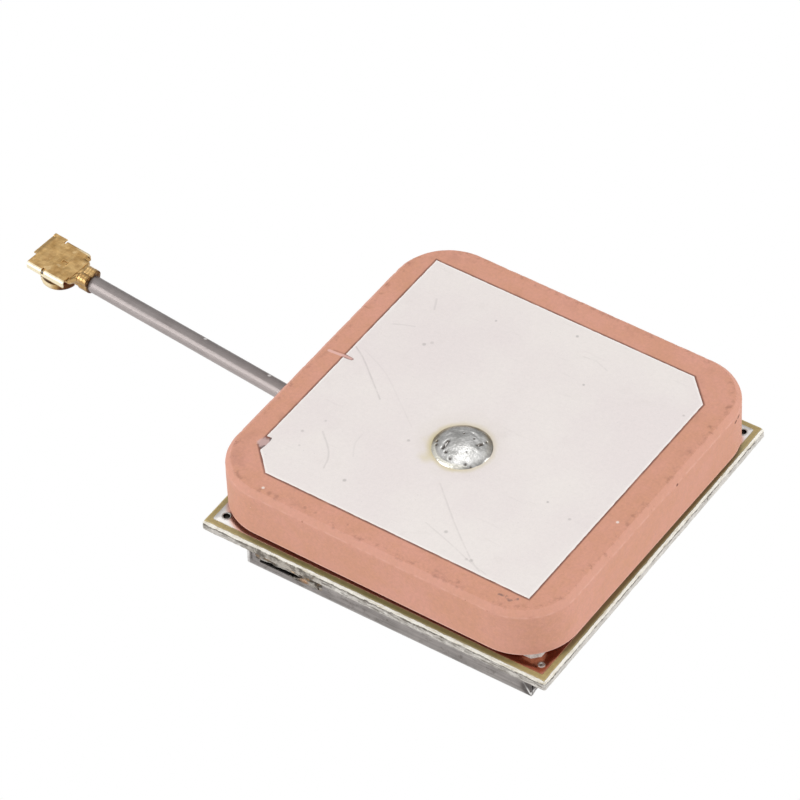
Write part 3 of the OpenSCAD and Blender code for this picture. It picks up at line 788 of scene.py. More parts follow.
def mat_tin(name="tinned_copper", dull=0.0):
    g = Mat(name, metallic=1.0)
    n = g.noise(0.5, 3.0, 0.55)
    f = g.noise(5.0, 3.0, 0.65)
    col = g.mix(n.ss(0.3, 0.7), srgb(225, 219, 216), srgb(235, 231, 228))
    col = g.shade(col, f.lin(0.25, 0.75, 0.96, 1.03))
    col = g.mix(g.noise(1.2, 4.0, 0.6, shift=(3, 1, 0)).ss(0.56, 0.74) * 0.35, col, srgb(176, 160, 136))
    col = g.mix(g.specks(1.6, 0.08, 0.3) * 0.6, col, srgb(120, 104, 84))
    if not dull:
        # reddish tint at the front right corner, a painted reflection of the block's red side
        col = g.mix((g.x - g.y).ss(20.5, 22.6) * n.lin(0.3, 0.7, 0.80, 0.97), col, srgb(176, 112, 84))
        # painted reflection of the block's reddish side from just outside its foot inwards, and painted shade deeper in
        # the gap under the block
        under = block_depth(g)
        col = g.mix(under.ss(-0.32, 0.04) * 0.70, col, srgb(204, 124, 92))
        col = g.mix(under.ss(0.32, 0.60) * 0.88, col, srgb(160, 64, 38))
    g.bump(n, 0.003)
    g.bump(f, 0.001)
    return g.done(col, n.lin(0.3, 0.7, 0.16 + dull, 0.26 + dull))


def mat_via():
    """Plated holes: bright rim, painted shade down the barrel."""
    g = Mat("plated_hole", metallic=1.0)
    n = g.noise(3.0, 3.0, 0.6)
    ax, ay = (g.x - VIA_C[0]).abs() - VIA_H[0], (g.y - VIA_C[1]).abs() - VIA_H[1]
    r = (ax * ax + ay * ay).sqrt()
    col = g.mix(n.ss(0.3, 0.7), srgb(168, 163, 158), srgb(200, 196, 192))
    inside = r.ss(0.21, 0.245, 1.0, 0.0)
    filled = (g.x - g.y).ss(22.0, 22.4)
    shade_depth = g.z.ss(2.62, 2.72, 1.0, 0.0)
    # painted shade inside the open holes
    col = g.mix(inside * shade_depth * (1.0 - filled), col, srgb(52, 42, 34))
    # the filled one: bare copper round a bright ring of solder with a dull dimple
    col = g.mix(filled * r.ss(0.215, 0.245), col, srgb(172, 108, 82))
    col = g.mix(filled * r.ss(0.06, 0.11, 1.0, 0.0) * 0.7, col, srgb(110, 98, 90))
    g.bump(n, 0.01)
    return g.done(col, n.lin(0.3, 0.7, 0.32, 0.46))


def mat_laminate():
    g = Mat("glass_laminate", ior=1.5, spec=0.4)
    edge = g.x.abs().max(g.y.abs())
    # upper and lower faces: olive resin with the glass weave just showing
    wx = (g.x * 11.0).sin().abs()
    wy = (g.y * 11.0).sin().abs()
    weave = wx * wy
    n = g.noise(0.35, 3.0, 0.6)
    f = g.noise(3.5, 3.0, 0.65)
    olive = g.mix(n.ss(0.32, 0.68), srgb(168, 150, 98), srgb(182, 164, 112))
    green = ((g.x + 2.5).abs().ss(2.0, 9.0, 1.0, 0.0)) * g.y.ss(-12.4, -12.0, 1.0, 0.0)
    olive = g.mix(green * 0.5, olive, srgb(140, 138, 86))
    olive = g.shade(olive, f.lin(0.25, 0.75, 0.90, 1.09) * weave.lin(0.0, 1.0, 0.95, 1.03))
    # painted shade along the foot of the block, browner on the right side
    shade_depth = block_depth(g)
    olive = g.shade(olive, shade_depth.ss(-0.20, 0.15, 1.0, 0.76))
    olive = g.mix(shade_depth.ss(-0.10, 0.25) * g.x.ss(11.6, 12.0) * 0.55, olive, srgb(122, 84, 58))
    olive = g.mix(g.specks(1.3, 0.12, 0.2) * 0.4, olive, srgb(206, 192, 150))
    olive = g.mix(g.specks(1.1, 0.10, 0.2, shift=(3, 3, 3)) * 0.45, olive, srgb(104, 88, 54))
    # broken edge: pale torn fibres on the scored slope, a dark broken line, then the greyer sawn part
    t = g.noise(1.0, 4.0, 0.65, stretch=(1.1, 1.1, 7.0))
    b = g.noise(1.5, 4.0, 0.7, shift=(2, 6, 1))
    h = g.noise(8.0, 3.0, 0.7)
    torn = g.mix(t.ss(0.28, 0.55), srgb(214, 204, 182), srgb(250, 246, 236))
    under = g.mix(t.ss(0.34, 0.60), srgb(134, 128, 120), srgb(206, 201, 194))
    under = g.mix(b.ss(0.50, 0.66) * 0.65, under, srgb(244, 240, 233))
    under = g.mix(b.ss(0.28, 0.44, 1.0, 0.0) * 0.55, under, srgb(104, 98, 90))
    under = g.mix(g.x.ss(12.3, 12.5) * 0.55, under, srgb(226, 222, 216))
    zw = g.z + b.lin(0.3, 0.7, -0.06, 0.06) + h.lin(0.3, 0.7, -0.02, 0.02)
    cut = zw.ss(2.40, 2.47)
    rim = g.mix(cut, under, torn)
    rim = g.shade(rim, h.lin(0.25, 0.75, 0.93, 1.06))
    seam = (zw - 2.375).abs().ss(0.02, 0.075, 1.0, 0.0) * g.noise(0.9, 4.0, 0.7, shift=(8, 3, 5)).ss(0.40, 0.54)
    rim = g.mix(seam * 0.85, rim, srgb(92, 84, 74))
    rim = g.mix(g.specks(1.2, 0.12, 0.3) * cut.lin(0.0, 1.0, 0.7, 0.2), rim, srgb(98, 88, 74))
    # solder spilled up the edge above the front cut-out
    spill = g.y.ss(-12.50, -12.44, 1.0, 0.0) * (g.x + 6.6).abs().ss(2.4, 3.3, 1.0, 0.0) * zw.ss(2.42, 2.50, 1.0, 0.0)
    rim = g.mix(spill * 0.85, rim, g.mix(b.ss(0.42, 0.58), srgb(100, 92, 82), srgb(178, 171, 161)))
    rim = g.mix(spill * t.ss(0.58, 0.68) * 0.5, rim, srgb(160, 126, 86))
    side = (edge + b.lin(0.3, 0.7, -0.02, 0.02)).ss(12.455, 12.485)
    col = g.mix(side, olive, rim)
    # a painted highlight along the board's upper edge
    pale = (edge - 12.43).abs().ss(0.01, 0.05, 1.0, 0.0) * g.z.ss(2.6, 2.64)
    col = g.mix(pale * 0.35, col, srgb(222, 206, 156))
    g.bump(f, 0.015)
    g.bump((t + h * 0.5) * side, 0.05)
    return g.done(col, side.lin(0.0, 1.0, 0.40, 0.80))


def mat_foam():
    g = Mat("foam_tape", spec=0.2)
    n = g.noise(1.0, 3.0, 0.6)
    d, r, q = g.cells(5.0)
    col = g.mix(n.ss(0.3, 0.7), srgb(228, 224, 216), srgb(246, 243, 238))
    col = g.shade(col, d.lin(0.0, 0.8, 0.84, 1.04))
    col = g.mix(g.specks(1.4, 0.08, 0.2) * 0.5, col, srgb(170, 150, 128))
    g.bump(d, 0.06)
    return g.done(col, n.lin(0.3, 0.7, 0.75, 0.95))


def mat_can():
    g = Mat("tinplate_can", metallic=1.0)
    n = g.noise(0.45, 4.0, 0.62)
    streak = g.noise(1.0, 3.0, 0.6, stretch=(0.25, 0.25, 7.0))
    brush = g.noise(1.0, 2.0, 0.6, stretch=(0.6, 0.6, 26.0), shift=(3, 1, 2))
    flat = g.noise(1.0, 3.0, 0.6, stretch=(0.3, 9.0, 1.0), shift=(5, 0, 0))
    under = g.z.ss(0.02, 0.12, 1.0, 0.0)
    lay = g.mix(under, g.join(streak, brush, 0.0), g.join(flat, flat, 0.0))
    a, b, _ = g.split(lay)
    blot = g.noise(1.6, 5.0, 0.7)
    col = g.mix(n.ss(0.32, 0.68), srgb(152, 146, 143), srgb(172, 166, 163))
    col = g.shade(col, a.lin(0.25, 0.75, 0.66, 1.24) * b.lin(0.25, 0.75, 0.88, 1.10))
    col = g.mix(blot.ss(0.52, 0.68) * 0.50, col, srgb(104, 97, 92))
    col = g.mix(g.specks(1.5, 0.10, 0.3) * 0.5, col, srgb(96, 88, 80))
    col = g.mix(g.specks(0.9, 0.10, 0.3, shift=(7, 7, 1)) * 0.5, col, srgb(228, 225, 221))
    # solder wicked down the wall in ragged patches, and a painted highlight along the lower bend
    wall = 1.0 - under
    wick = (g.z + blot.lin(0.3, 0.7, -0.30, 0.30)).ss(1.05, 1.35) * wall
    col = g.mix(wick * g.noise(3.0, 4.0, 0.7, shift=(1, 4, 6)).ss(0.35, 0.62) * 0.5, col, srgb(230, 227, 223))
    lower_bend_highlight = (g.z - 0.16).abs().ss(0.02, 0.14, 1.0, 0.0) * wall
    col = g.mix(lower_bend_highlight * blot.ss(0.3, 0.6, 0.2, 0.5), col, srgb(216, 213, 210))
    # painted shade with painted highlights on the fold edges at the front right corner, and a lighter outline at the
    # left end
    painted_corner_zone = g.vec("DISTANCE", g.P, (11.05, -12.05, 0.7)).ss(0.40, 0.75, 1.0, 0.0)
    corner_fold_highlight = (g.x * 1.5 + g.z * 1.0 - 17.1 + blot.lin(0.3, 0.7, -0.08, 0.08)).abs().ss(0.07, 0.16, 1.0, 0.0)
    col = g.mix(painted_corner_zone * blot.ss(0.3, 0.6, 0.9, 0.6), col, srgb(70, 64, 63))
    col = g.mix(painted_corner_zone * corner_fold_highlight * g.z.ss(0.55, 0.85, 0.9, 0.15), col, srgb(244, 242, 240))
    left = (g.x + 9.60).abs().ss(0.05, 0.16, 1.0, 0.0) * g.y.ss(-11.7, -11.5, 1.0, 0.0) * wall
    col = g.mix(left * blot.ss(0.35, 0.6, 0.5, 0.95), col, srgb(246, 244, 242))
    edge = (g.x + 9.34).abs().ss(0.03, 0.12, 1.0, 0.0) * g.y.ss(-11.9, -11.8, 1.0, 0.0) * g.z.ss(0.4, 0.7)
    col = g.mix(edge * blot.ss(0.3, 0.6, 0.8, 0.3), col, srgb(58, 54, 52))
    g.bump(n, 0.02)
    g.bump(a + b * 0.6, 0.008)
    rough = n.lin(0.3, 0.7, 0.32, 0.46) + blot.ss(0.5, 0.8) * 0.12
    return g.done(col, rough)


def mat_jacket():
    g = Mat("jacket", metallic=0.45, ior=1.4, spec=0.5)
    L, xl, yl = lead_coords(g)
    zl = g.z - LEAD_Z
    n = g.noise(0.6, 3.0, 0.6, P=L)
    streak = g.noise(1.0, 3.0, 0.6, P=L, stretch=(0.25, 5.0, 5.0))
    f = g.noise(9.0, 2.0, 0.65, P=L)
    # the braid's weave just telegraphs through the thin jacket
    ang = g.math("ARCTAN2", yl, zl)
    w1 = (ang * 8.0 + xl * 5.2).sin()
    w2 = (ang * 8.0 - xl * 5.2).sin()
    weave = w1 * w2
    col = g.mix(n.ss(0.3, 0.7), srgb(163, 154, 152), srgb(173, 164, 162))
    col = g.shade(col, streak.lin(0.25, 0.75, 0.91, 1.08) * f.lin(0.25, 0.75, 0.97, 1.03))
    col = g.shade(col, (zl * 1.42 - yl * 1.06).ss(0.0, 0.80, 1.0, 0.62))        # upper side painted darker as painted shade
    col = g.mix(g.specks(0.8, 0.09, 0.3, P=L) * 0.5, col, srgb(204, 198, 196))
    col = g.mix(g.specks(1.0, 0.08, 0.25, P=L, shift=(4, 4, 4)) * 0.5, col, srgb(104, 96, 94))
    for c in ((9.71, -0.23), (4.3, -0.19)):
        col = g.mix(g.spot(g.join(xl, yl, 0.0), c, 0.15, 0.5) * zl.ss(0.1, 0.2) * 0.85, col, srgb(236, 233, 231))
    g.bump(weave, 0.003)
    g.bump(streak, 0.005)
    g.bump(f, 0.0015)
    return g.done(col, n.lin(0.3, 0.7, 0.30, 0.42))


def mat_gold(name="gold_plate", tone=1.0, plug=False):
    g = Mat(name, metallic=1.0)
    L, xl, yl = lead_coords(g)
    n = g.noise(1.3, 3.0, 0.55, P=L)
    f = g.noise(3.4, 3.0, 0.55, P=L)
    draw = g.noise(1.0, 3.0, 0.55, P=L, stretch=(1.1, 3.6, 1.0))
    col = g.mix(n.ss(0.32, 0.68), srgb(184, 146, 92), srgb(214, 178, 122))
    col = g.shade(col, f.lin(0.25, 0.75, 0.91, 1.08) * draw.lin(0.25, 0.75, 0.86, 1.10) * tone)
    col = g.mix(g.noise(1.5, 3.0, 0.55, P=L, shift=(5, 2, 8)).ss(0.50, 0.68) * 0.35, col, srgb(166, 122, 74))
    col = g.mix(g.noise(1.8, 2.0, 0.5, P=L, shift=(1, 8, 3)).ss(0.60, 0.72) * 0.30, col, srgb(250, 224, 176))
    col = g.mix(g.specks(2.2, 0.06, 0.12) * 0.4, col, srgb(120, 84, 46))
    if plug:
        # painted highlights on the bends, painted shade where the folds tuck under and below the hem, and painted shade
        # and light on the barrel
        flange_bend_highlight = yl.ss(1.36, 1.45) * g.z.ss(1.40, 1.50) * xl.ss(20.2, 20.4)
        col = g.mix(flange_bend_highlight * n.ss(0.25, 0.5, 0.75, 1.0), col, srgb(255, 243, 212))
        far_bend_highlight = (yl + 1.44).abs().ss(0.05, 0.13, 1.0, 0.0) * g.z.ss(1.66, 1.76) * xl.ss(20.2, 20.4) * xl.ss(21.3, 21.9, 1.0, 0.0)
        col = g.mix(far_bend_highlight * 0.7, col, srgb(255, 240, 204))
        tuck = yl.abs().ss(1.40, 1.46, 1.0, 0.0) * g.z.ss(1.70, 1.80, 1.0, 0.0) * g.z.ss(0.64, 0.74) * xl.ss(20.6, 20.8)
        col = g.mix(tuck * 0.95, col, srgb(60, 34, 16))
        hem_shade = (g.z - 1.39).abs().ss(0.03, 0.08, 1.0, 0.0) * yl.abs().ss(1.40, 1.46) * xl.ss(20.2, 20.5)
        col = g.mix(hem_shade * 0.6, col, srgb(110, 72, 38))
        shade = g.z.ss(0.95, 1.15, 1.0, 0.0) * xl.ss(21.2, 21.6, 1.0, 0.0)
        col = g.mix(shade * 0.92, col, srgb(82, 36, 18))
        lit = g.z.ss(0.62, 0.72, 1.0, 0.0) * xl.ss(21.5, 22.0)
        col = g.mix(lit * 0.85, col, srgb(255, 238, 200))
        mouth = (xl - 19.12).abs().ss(0.03, 0.13, 1.0, 0.0)
        col = g.mix(mouth * f.ss(0.3, 0.6, 0.5, 0.9), col, srgb(84, 50, 28))
    g.bump(f, 0.006)
    g.bump(draw, 0.010)
    g.bump(n, 0.025)
    return g.done(col, f.lin(0.28, 0.72, 0.24, 0.36))


def mat_plain(name, a, b, rough=(0.4, 0.6), metallic=0.0, spot=None, scale=2.0, depth=0.01):
    g = Mat(name, metallic=metallic)
    n = g.noise(scale * 0.4, 3.0, 0.6)
    f = g.noise(scale * 3.0, 3.0, 0.65)
    col = g.mix(n.ss(0.3, 0.7), srgb(*a), srgb(*b))
    col = g.shade(col, f.lin(0.25, 0.75, 0.92, 1.08))
    if spot:
        col = g.mix(g.specks(scale, 0.09, 0.3) * 0.6, col, srgb(*spot))
    g.bump(f, depth)
    return g.done(col, f.lin(0.25, 0.75, *rough))


def mat_braid():
    g = Mat("braid", metallic=1.0)
    L, xl, yl = lead_coords(g)
    ang = g.math("ARCTAN2", yl, g.z - LEAD_Z)
    w = ((ang * 8.0 + xl * 5.2).sin() * (ang * 8.0 - xl * 5.2).sin())
    wire = (ang * 40.0 + xl * 26.0).sin()
    col = g.mix(w.ss(-0.6, 0.6), srgb(120, 112, 104), srgb(216, 212, 206))
    g.bump(w + wire * 0.4, 0.03)
    return g.done(col, w.lin(-1.0, 1.0, 0.5, 0.28))


M = {
    "ceramic": mat_ceramic(),
    "silver": mat_silver(True),
    "silver_low": mat_silver(False),
    "dome": mat_dome(),
    "solder": mat_solder(),
    "bead": mat_bead(),
    "tin": mat_tin(),
    "tin_low": mat_tin("tinned_copper_lower", 0.12),
    "via": mat_via(),
    "laminate": mat_laminate(),
    "foam": mat_foam(),
    "can": mat_can(),
    "jacket": mat_jacket(),
    "gold": mat_gold(plug=True),
    "gold_in": mat_gold("gold_contact", 0.95),
    "braid": mat_braid(),
    "pin": mat_plain("tinned_pin", (196, 192, 186), (224, 221, 217), (0.25, 0.4), 1.0, (110, 98, 84), 2.0, 0.01),
    "epoxy": mat_plain("black_epoxy", (40, 40, 42), (54, 54, 56), (0.5, 0.7), 0.0, (86, 86, 86), 3.0, 0.015),
    "white_cer": mat_plain("white_ceramic", (224, 221, 212), (240, 238, 231), (0.5, 0.65), 0.0, (170, 160, 146), 2.0, 0.01),
    "tan_cer": mat_plain("tan_ceramic", (176, 142, 104), (198, 166, 128), (0.4, 0.55), 0.0, (120, 92, 62), 3.0, 0.008),
    "ferrite": mat_plain("grey_ferrite", (78, 82, 90), (100, 104, 112), (0.5, 0.65), 0.0, (140, 142, 146), 3.0, 0.012),
    "polymer": mat_plain("white_polymer", (226, 223, 216), (242, 240, 235), (0.35, 0.5), 0.0, (196, 180, 156), 1.6, 0.006),
}

# ---------------------------------------------------------------- ceramic block
def build_ceramic():
    NS, NA = 144, 48
    n = 4 * (NS + NA)

    def ring(d, z):
        return at(rsq(25.0 - 2 * d, 3.8 - d, NS, NA), z)

    t0 = np.arctan2(*(ring(2.0, 0)[:, :2] - FEED_B).T[::-1])
    hole = np.column_stack([FEED_B[0] + 0.6 * np.cos(t0), FEED_B[1] + 0.6 * np.sin(t0)])
    zt, zb, b = 7.0, 3.4, 0.364
    rings = []
    inner = ring(2.0, 0)[:, :2]
    for k in (0.0, 0.02, 0.12, 0.35, 0.7, 1.0):
        rings.append(at(hole * (1 - k) + inner * k, zt))
    for d in (1.3, 0.85, 0.62, 0.5):
        rings.append(ring(d, zt))
    rho = 0.16
    t = rho * math.tan(math.radians(22.5))
    for k in range(6):                                     # rounded upper edge of the bevel
        a = math.radians(45 * k / 5)
        rings.append(ring(b + t - rho * math.sin(a), zt - rho * (1 - math.cos(a))))
    for k in (0.25, 0.5, 0.75):
        d0, d1 = b + t - rho * math.sin(math.pi / 4), t * math.cos(math.pi / 4)
        rings.append(ring(d0 * (1 - k) + d1 * k, zt - (b - (d0 * (1 - k) + d1 * k))))
    for k in range(6):                                     # rounded lower edge of the bevel
        a = math.radians(45 * k / 5)
        d = t * math.cos(math.pi / 4) * (1 - k / 5) ** 1.6
        z0 = zt - b + t * math.cos(math.pi / 4)
        rings.append(ring(d, z0 - (t + t * math.cos(math.pi / 4)) * k / 5))
    for z in np.linspace(6.5, 3.47, 14):
        rings.append(ring(0.0, z))
    for k in range(1, 5):                                  # small round at the foot
        a = math.radians(90 * k / 4)
        rings.append(ring(0.035 * (1 - math.cos(a)), zb + 0.035 * (1 - math.sin(a))))
    for d in (0.5, 2.0):
        rings.append(ring(d, zb))
    for k in (0.5, 0.0):
        rings.append(at(hole * (1 - k) + inner * k, zb))
    V, F = loft(rings, wrap=True)
    N = normals(V, F)
    rim = np.maximum(np.abs(V[:, 0]), np.abs(V[:, 1]))
    q = np.maximum(np.abs(V[:, :2]) - 8.7, 0)
    e = 3.8 - np.linalg.norm(q, axis=1) - np.minimum(np.maximum(*(np.abs(V[:, :2]) - 8.7).T), 0)
    wear = step(e, 0.9, 0.45) * step(V[:, 2], 3.42, 3.6)
    dz = 0.010 * fbm(V * 0.9, 3) + 0.006 * noise(V * 4.0)
    edge = np.exp(-((V[:, 2] - 6.62) / 0.10) ** 2) * step(e, 0.2, 0.05) + np.exp(-((e - 0.36) / 0.07) ** 2) * step(V[:, 2], 6.8, 6.95)
    chips = np.clip(noise(V * 2.3 + 5.0) - 0.42, 0, 1) + 0.7 * np.clip(noise(V * 4.1 + 11.0) - 0.45, 0, 1)
    V = V + N * ((dz * wear) - edge * chips * 0.20)[:, None]
    V[:, 2] = np.minimum(V[:, 2], 7.0)
    return piece("ceramic_patch", from_block(V), F, M["ceramic"], ["ceramic_block"], 50)


# ---------------------------------------------------------------- silver print
def build_silver():
    c, h, k = np.array(SILVER_C), SILVER_H, SILVER_CUT
    x0, x1, y0, y1 = c[0] - h, c[0] + h, c[1] - h, c[1] + h
    poly = [(x0 + k, y0), (x1, y0), (x1, y1 - k), (x1 - k, y1), (x0, y1)]
    poly += [(x0, 0.40), (-10.35, 0.385), (-10.02, 0.36), (-9.97, 0.25), (-10.04, 0.15), (-10.4, 0.12), (x0, 0.10)]
    ny = y0 + k
    poly += [(x0, ny + 0.84), (x0 + 0.36, ny + 0.86), (x0 + 0.43, ny + 0.52), (x0 + 0.40, ny + 0.02), (x0 + 0.34, ny - 0.34)]
    P = dense(poly, 0.13)
    N = out2(P)
    w = 0.016 * noise(at(P * 2.2, 0.0)) + 0.010 * noise(at(P * 6.0, 3.0))
    rings = []
    for d, z in ((0.0, 7.0), (0.004, 7.016), (0.022, 7.027), (0.05, 7.03)):
        rings.append(at(P + N * (w - d)[:, None], z))
    hole = [circle(FEED_B, 0.62, 40, 7.0), circle(FEED_B, 0.62, 40, 7.03)]
    rings = [from_block(r) for r in rings]
    hole = [from_block(r) for r in hole]
    return plate("silver_patch", rings, [hole], M["silver"], ["top_electrode"], 30)


# ---------------------------------------------------------------- solder dome
def build_dome():
    n, R0, H = 176, 1.9, 0.365
    S0 = (R0 * R0 + H * H) / (2 * H)
    t = 2 * math.pi * np.arange(n) / n
    d = np.column_stack([np.cos(t), np.sin(t)])
    lim = 1 + 0.014 * noise(np.column_stack([d * 1.3, np.zeros(n)])) + 0.008 * noise(np.column_stack([d * 4.0, np.ones(n)]))
    pits = [(from_block(np.array(pts)) - FEED, r) for pts, r in PITS]
    rings = []
    for r in np.concatenate([np.linspace(0.02, 0.95, 62), [0.965, 0.978, 0.988, 0.995, 1.0]]):
        P = d * (R0 * r * lim)[:, None]
        base = math.sqrt(S0 * S0 - (R0 * r) ** 2) - S0 + H + 0.07 * (1 - r ** 15)
        groove = -0.045 * np.exp(-((r * R0 - 1.08) / 0.10) ** 2) * step(noise(np.column_stack([d * 1.7, np.full(n, 4.0)])), -0.25, 0.5)
        groove = groove * step(d @ np.array([0.54, -0.84]), 0.90, 0.55)
        lump = 0.022 * fbm(np.column_stack([P * 0.95, np.full(n, 2.0)]), 2) + 0.012 * noise(np.column_stack([P * 3.0, np.full(n, 7.0)])) * step(r, 0.25, 0.55)
        hole = np.zeros(n)
        for p, rad in pits:
            if len(p) == 2:
                ab = p[1] - p[0]
                k = np.clip(((P - p[0]) @ ab) / (ab @ ab), 0, 1)[:, None]
                q = np.linalg.norm(P - p[0] - k * ab, axis=1)
            else:
                q = np.linalg.norm(P - p[0], axis=1)
            hole = np.maximum(hole, np.exp(-(q / (rad * 0.75)) ** 2) * min(rad, 0.12))
        z = base + (groove + lump - hole * 0.75) * (1 - r ** 12)
        rings.append(np.column_stack([FEED + P, 7.03 + np.clip(z, 0.0, 0.48)]))
    rings.append(np.column_stack([FEED + d * 1.06, np.full(n, 7.03)]))
    rings.append(np.column_stack([FEED + d * 1.06, np.full(n, 7.275)]))
    V, F = loft(rings, cap0=True, cap1=True)
    return piece("feed_solder_dome", V, F, M["dome"], ["feed_solder"], 60)


# ---------------------------------------------------------------- pad, board, copper, holes
def build_pad():
    h = 11.375
    cut = {(1, -1): 0.45, (1, 1): 1.6, (-1, 1): 1.3, (-1, -1): 1.5}
    poly = [(h - cut[1, -1], -h), (h, -h + cut[1, -1]), (h, h - cut[1, 1]), (h - cut[1, 1], h),
            (-h + cut[-1, 1], h), (-h, h - cut[-1, 1]), (-h, -h + cut[-1, -1]), (-h + cut[-1, -1], -h)]
    P = dense(poly, 0.2)
    N = out2(P)
    rings = []
    for z in (2.70, 2.73, 2.82, 2.95, 3.1, 3.22, 3.31, 3.36):
        bulge = -0.05 * math.sin(math.pi * (z - 2.70) / 0.66)
        w = 0.03 * noise(at(P * 1.4, z)) + 0.02 * noise(at(P * 5.0, z * 5)) + bulge
        rings.append(from_block(at(P + N * w[:, None], z)))
    hole = [circle(FEED, 1.7, 48, z) for z in (2.70, 3.36)]
    return plate("foam_pad", rings, [hole], M["foam"], ["adhesive_pad"], 40)


def build_board():
    rows = [(12.57, 1.94, 0.012), (12.60, 1.96, 0.02), (12.61, 2.02, 0.025), (12.61, 2.09, 0.03), (12.61, 2.16, 0.03), (12.605, 2.23, 0.03),
            (12.60, 2.29, 0.03), (12.58, 2.335, 0.03), (12.56, 2.37, 0.035), (12.575, 2.405, 0.035), (12.585, 2.44, 0.03), (12.57, 2.48, 0.028),
            (12.545, 2.53, 0.025), (12.515, 2.58, 0.02), (12.488, 2.625, 0.016), (12.465, 2.652, 0.010), (12.45, 2.66, 0.008)]
    rings = []
    for h, z, a in rows:
        P = rsq(2 * h, 0.16, 250, 5)
        N = out2(P)
        w = a * (0.9 * noise(at(P * 0.9, z * 4)) + 0.6 * noise(at(P * 3.2, z * 9)))
        w -= 0.09 * np.clip(noise(at(P * 1.1 + 40.0, z * 1.2)) - 0.45, 0, 1) * (a > 0.022)
        Q = P + N * w[:, None]
        lim = 12.698
        rings.append(at(np.clip(Q, -lim, lim), z))
    holes = [[circle(c, r, n, z) for z in (1.94, 2.66)] for c, r, n in [(FEED, 0.6, 40)] + [(c, 0.30, 28) for c in VIAS.values()]]
    return plate("circuit_board", rings, holes, M["laminate"], ["board"], 35)


def build_top_copper():
    P = rsq(24.2, 0.12, 170, 6)
    N = out2(P)
    w = 0.012 * noise(at(P * 1.1, 0.0)) + 0.008 * noise(at(P * 4.0, 2.0))
    rings = [at(P + N * (w - d)[:, None], z) for d, z in ((0.0, 2.66), (0.006, 2.685), (0.03, 2.70))]
    holes = [[circle(FEED, 1.3, 56, z) for z in (2.66, 2.70)]]
    holes += [[circle(c, 0.302, 28, z) for z in (2.66, 2.70)] for c in VIAS.values()]
    return plate("upper_copper", rings, holes, M["tin"], ["top_ground_plane"], 35)


def revolve(c, prof, n, wrap=False):
    """Turns a line of (radius, height) about the upright axis at c; a radius of 0 closes the end."""
    B = Build()
    rings = [circle(c, max(r, 1e-6), n, z) for r, z in prof]
    V, F = loft(rings, wrap=wrap)
    B.add(V, F)
    return B.arrays()


def build_vias():
    B = Build()
    for sx in (1, -1):
        for sy in (1, -1):
            c = VIAS[sx, sy]
            if (sx, sy) == (1, -1):
                prof = [(0, 1.91), (0.17, 1.905), (0.29, 1.90), (0.30, 1.93), (0.30, 2.69), (0.297, 2.699), (0.29, 2.703), (0.25, 2.704), (0.225, 2.715),
                        (0.205, 2.735), (0.18, 2.745), (0.15, 2.738), (0.115, 2.715), (0.07, 2.700), (0, 2.696)]
                V, F = revolve(c, prof, 44)
            else:
                prof = [(0.22, 1.90), (0.30, 1.90), (0.30, 2.70), (0.325, 2.70), (0.322, 2.712), (0.30, 2.72), (0.26, 2.72), (0.232, 2.712), (0.22, 2.69), (0.22, 2.3)]
                V, F = revolve(c, prof, 44, wrap=True)
            B.add(V, F)
    V, F = B.arrays()
    return piece("plated_holes", V, F, M["via"], ["corner_vias"], 50)


# ---------------------------------------------------------------- screening can
CX0, CX1, CY0, CY1 = -9.7, 11.2, -12.04, 12.0


